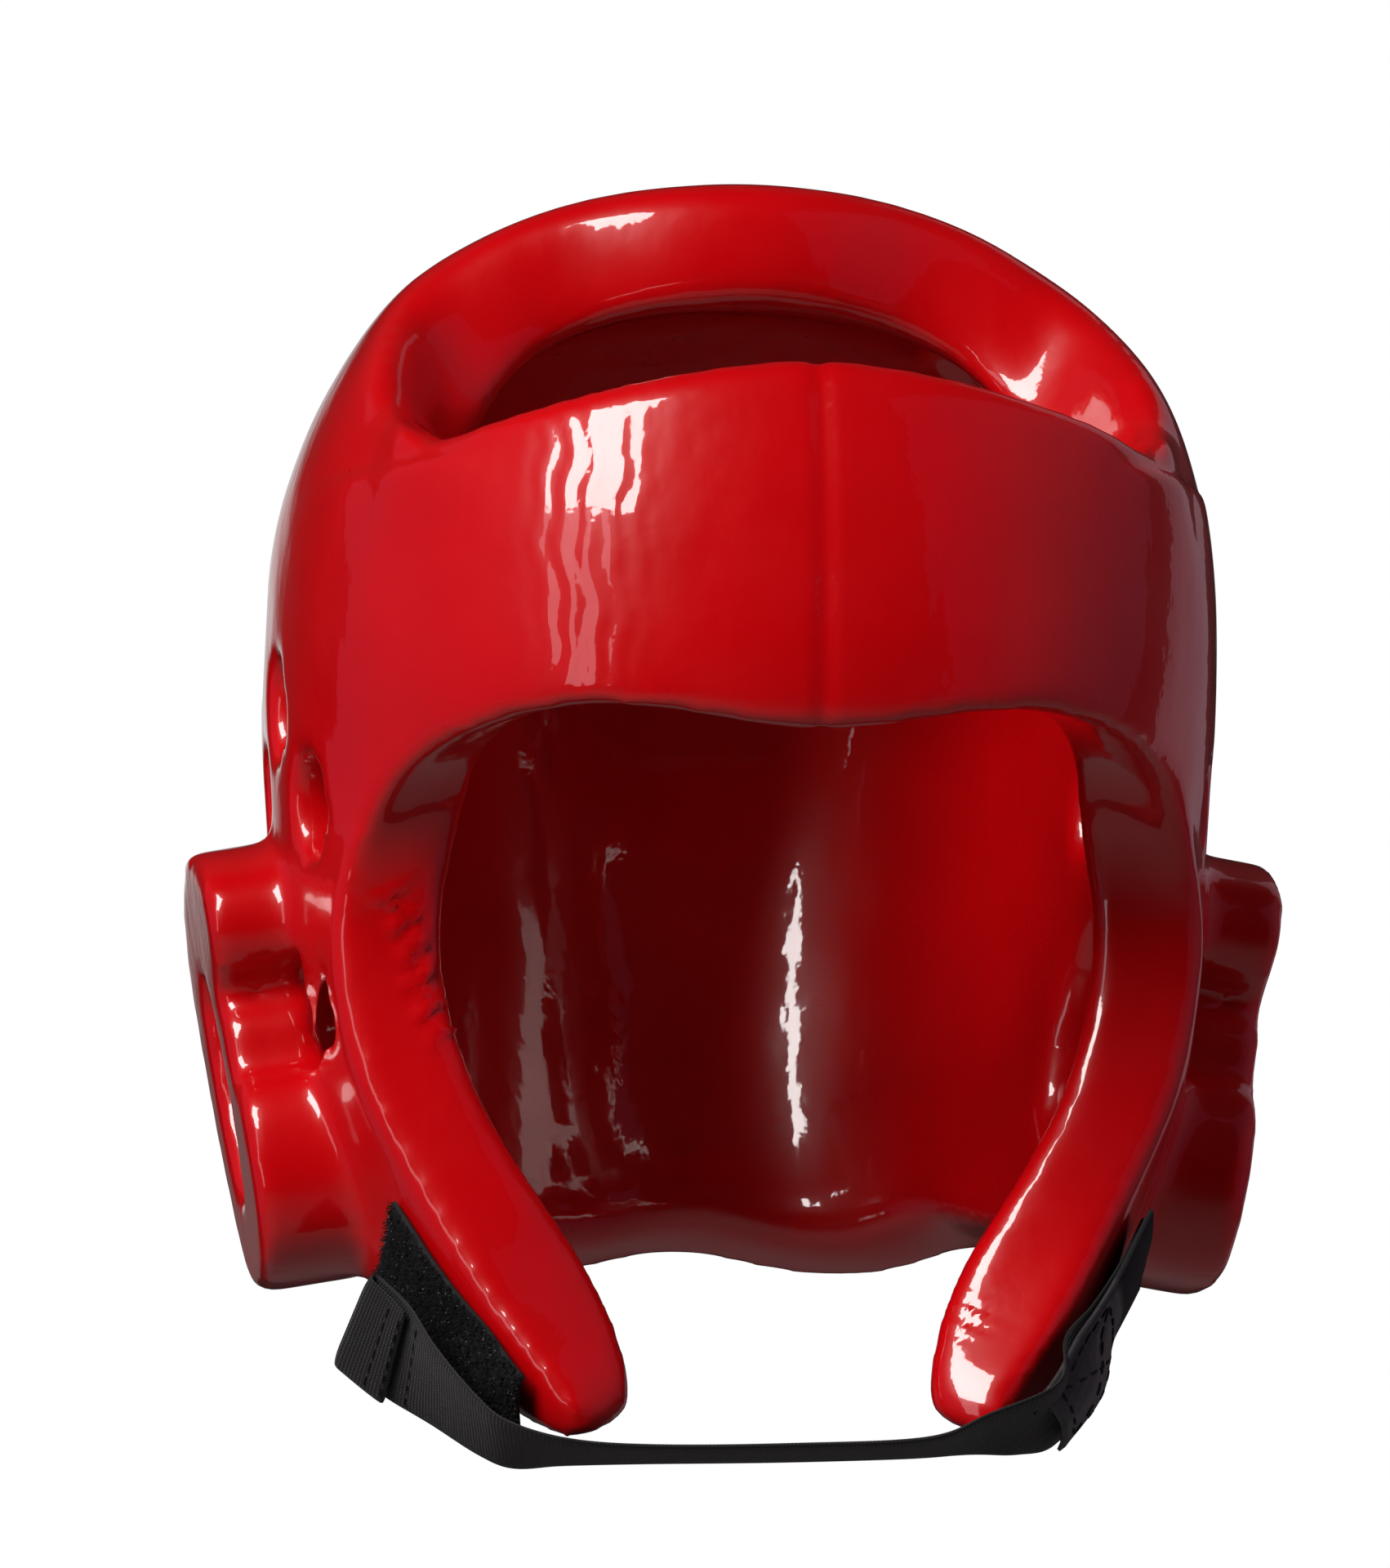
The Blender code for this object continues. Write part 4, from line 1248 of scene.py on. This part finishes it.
def add_panel(name, turn, rise, across, up, brightness, colour=(1.0, 1.0, 1.0), mirrored=True):
    """A soft rectangular light in a direction, as wide and high as the angles in degrees that it fills.

    Turn is 0 in front of the face and positive toward +X; brightness is that of the panel itself."""
    turn, rise = math.radians(turn), math.radians(rise)
    way = Vector((math.sin(turn) * math.cos(rise), -math.cos(turn) * math.cos(rise), math.sin(rise)))
    data = bpy.data.lights.new(name, "AREA")
    data.shape = "RECTANGLE"
    data.size = 2.0 * PANEL_DISTANCE * math.tan(math.radians(across) / 2.0)
    data.size_y = 2.0 * PANEL_DISTANCE * math.tan(math.radians(up) / 2.0)
    data.energy = math.pi * brightness * data.size * data.size_y
    data.color = colour
    made = add_object(name, data)
    made.location = MIDDLE + way * PANEL_DISTANCE
    made.rotation_mode = "QUATERNION"
    made.rotation_quaternion = (-way).to_track_quat("-Z", "Y")
    made.visible_camera = False
    made.visible_glossy = mirrored
    return made


def add_surround(scene):
    """A dim room with a white backdrop behind the head, which the camera sees as plain white."""
    world = bpy.data.worlds.new("Studio surround")
    scene.world = world
    world.use_nodes = True
    nodes, links = world.node_tree.nodes, world.node_tree.links
    room = nodes["Background"]
    way = nodes.new("ShaderNodeTexCoord").outputs["Generated"]
    parts = nodes.new("ShaderNodeSeparateXYZ")
    links.new(way, parts.inputs["Vector"])
    behind = ramp(nodes, links, parts.outputs["Y"], 0.95, 1.0, 0.010, 0.68)
    behind.node.interpolation_type = "SMOOTHSTEP"
    above = ramp(nodes, links, parts.outputs["Z"], 0.030, 0.085, 0.15, 1.0)
    both = nodes.new("ShaderNodeMath")
    both.operation = "MULTIPLY"
    links.new(behind, both.inputs[0])
    links.new(above, both.inputs[1])
    links.new(both.outputs["Value"], room.inputs["Strength"])
    room.inputs["Color"].default_value = (1.0, 1.0, 1.0, 1.0)
    white = nodes.new("ShaderNodeBackground")
    white.inputs["Color"].default_value = (1.0, 1.0, 1.0, 1.0)
    seen = nodes.new("ShaderNodeLightPath").outputs["Is Camera Ray"]
    mix = nodes.new("ShaderNodeMixShader")
    links.new(seen, mix.inputs[0])
    links.new(room.outputs["Background"], mix.inputs[1])
    links.new(white.outputs["Background"], mix.inputs[2])
    links.new(mix.outputs["Shader"], nodes["World Output"].inputs["Surface"])


def add_floor(colour):
    """A pale floor well below the part."""
    bpy.ops.object.select_all(action="DESELECT")
    bpy.ops.mesh.primitive_plane_add(size=30.0, location=(0.0, 0.0, FLOOR_LEVEL))
    floor = bpy.context.object
    floor.name = "studio_floor"
    surface = plain_finish("Pale floor", colour, 0.7, 30.0, 0.0005)
    nodes, links, shader = node_tree(surface)
    shader.inputs["Emission Color"].default_value = (*colour, 1.0)
    seen = nodes.new("ShaderNodeLightPath").outputs["Is Camera Ray"]
    links.new(ramp(nodes, links, seen, 0.0, 1.0, 0.0, 0.8), shader.inputs["Emission Strength"])
    shade = nodes.new("ShaderNodeMix")
    shade.data_type = "RGBA"
    shade.inputs["A"].default_value = (*shade_of(colour, 0.25), 1.0)
    links.new(seen, shade.inputs["Factor"])
    links.new(shader.inputs["Base Color"].links[0].from_socket, shade.inputs["B"])
    links.new(shade.outputs["Result"], shader.inputs["Base Color"])
    floor.data.materials.append(surface)


def add_camera(scene):
    """The camera, at the photograph's viewing angle."""
    turn, rise = math.radians(-8.3), math.radians(-5.0)
    back = Vector((math.sin(turn) * math.cos(rise), -math.cos(turn) * math.cos(rise), math.sin(rise)))
    right = Vector((math.cos(turn), math.sin(turn), 0.0))
    up = back.cross(right)
    place = MIDDLE + back * 1.8
    aim = (place - (MIDDLE - right * 0.0080 + up * 0.00653)).normalized()
    level = Vector((0.0, 0.0, 1.0)).cross(aim).normalized()
    data = bpy.data.cameras.new("portrait camera")
    data.lens = 206.7
    data.sensor_width = 36.0
    camera = add_object("portrait camera", data)
    camera.matrix_world = Matrix.Translation(place) @ Matrix(
        (level, aim.cross(level), aim)).transposed().to_4x4()
    scene.camera = camera


class HEADGUARD_OT_stage(bpy.types.Operator):
    """Make the floor, the lights, the pale surround and the camera"""

    bl_idname = "headguard.stage"
    bl_label = "Studio"

    def execute(self, context):
        add_floor(context.scene.head_guard_colours.floor)
        for row in PANELS:
            add_panel(*row)
        add_surround(context.scene)
        add_camera(context.scene)
        context.scene.view_settings.view_transform = "Standard"
        return {"FINISHED"}


class HEADGUARD_PT_panel(bpy.types.Panel):
    """The steps and the sizes, in the sidebar"""

    bl_idname = "HEADGUARD_PT_panel"
    bl_label = "Head Guard"
    bl_space_type = "VIEW_3D"
    bl_region_type = "UI"
    bl_category = "Head Guard"

    def draw(self, context):
        for step in STEPS:
            self.layout.operator(step.bl_idname)
        for group in (context.scene.head_guard_sizes, context.scene.head_guard_colours):
            for name in group.bl_rna.properties.keys():
                if name not in ("rna_type", "name"):
                    self.layout.prop(group, name)


STEPS = (HEADGUARD_OT_body, HEADGUARD_OT_strap, HEADGUARD_OT_patch, HEADGUARD_OT_tab, HEADGUARD_OT_stage)
CLASSES = (HeadGuardSizes, HeadGuardColours, *STEPS, HEADGUARD_PT_panel)


def register():
    """Add the classes and the settings."""
    for one in CLASSES:
        bpy.utils.register_class(one)
    bpy.types.Scene.head_guard_sizes = bpy.props.PointerProperty(type=HeadGuardSizes)
    bpy.types.Scene.head_guard_colours = bpy.props.PointerProperty(type=HeadGuardColours)


def unregister():
    """Take the settings and the classes away."""
    del bpy.types.Scene.head_guard_colours
    del bpy.types.Scene.head_guard_sizes
    for one in reversed(CLASSES):
        bpy.utils.unregister_class(one)


def main():
    """Build everything."""
    register()
    bpy.ops.headguard.body()
    bpy.ops.headguard.strap()
    bpy.ops.headguard.patch()
    bpy.ops.headguard.tab()
    bpy.ops.headguard.stage()


if __name__ == "__main__":
    main()
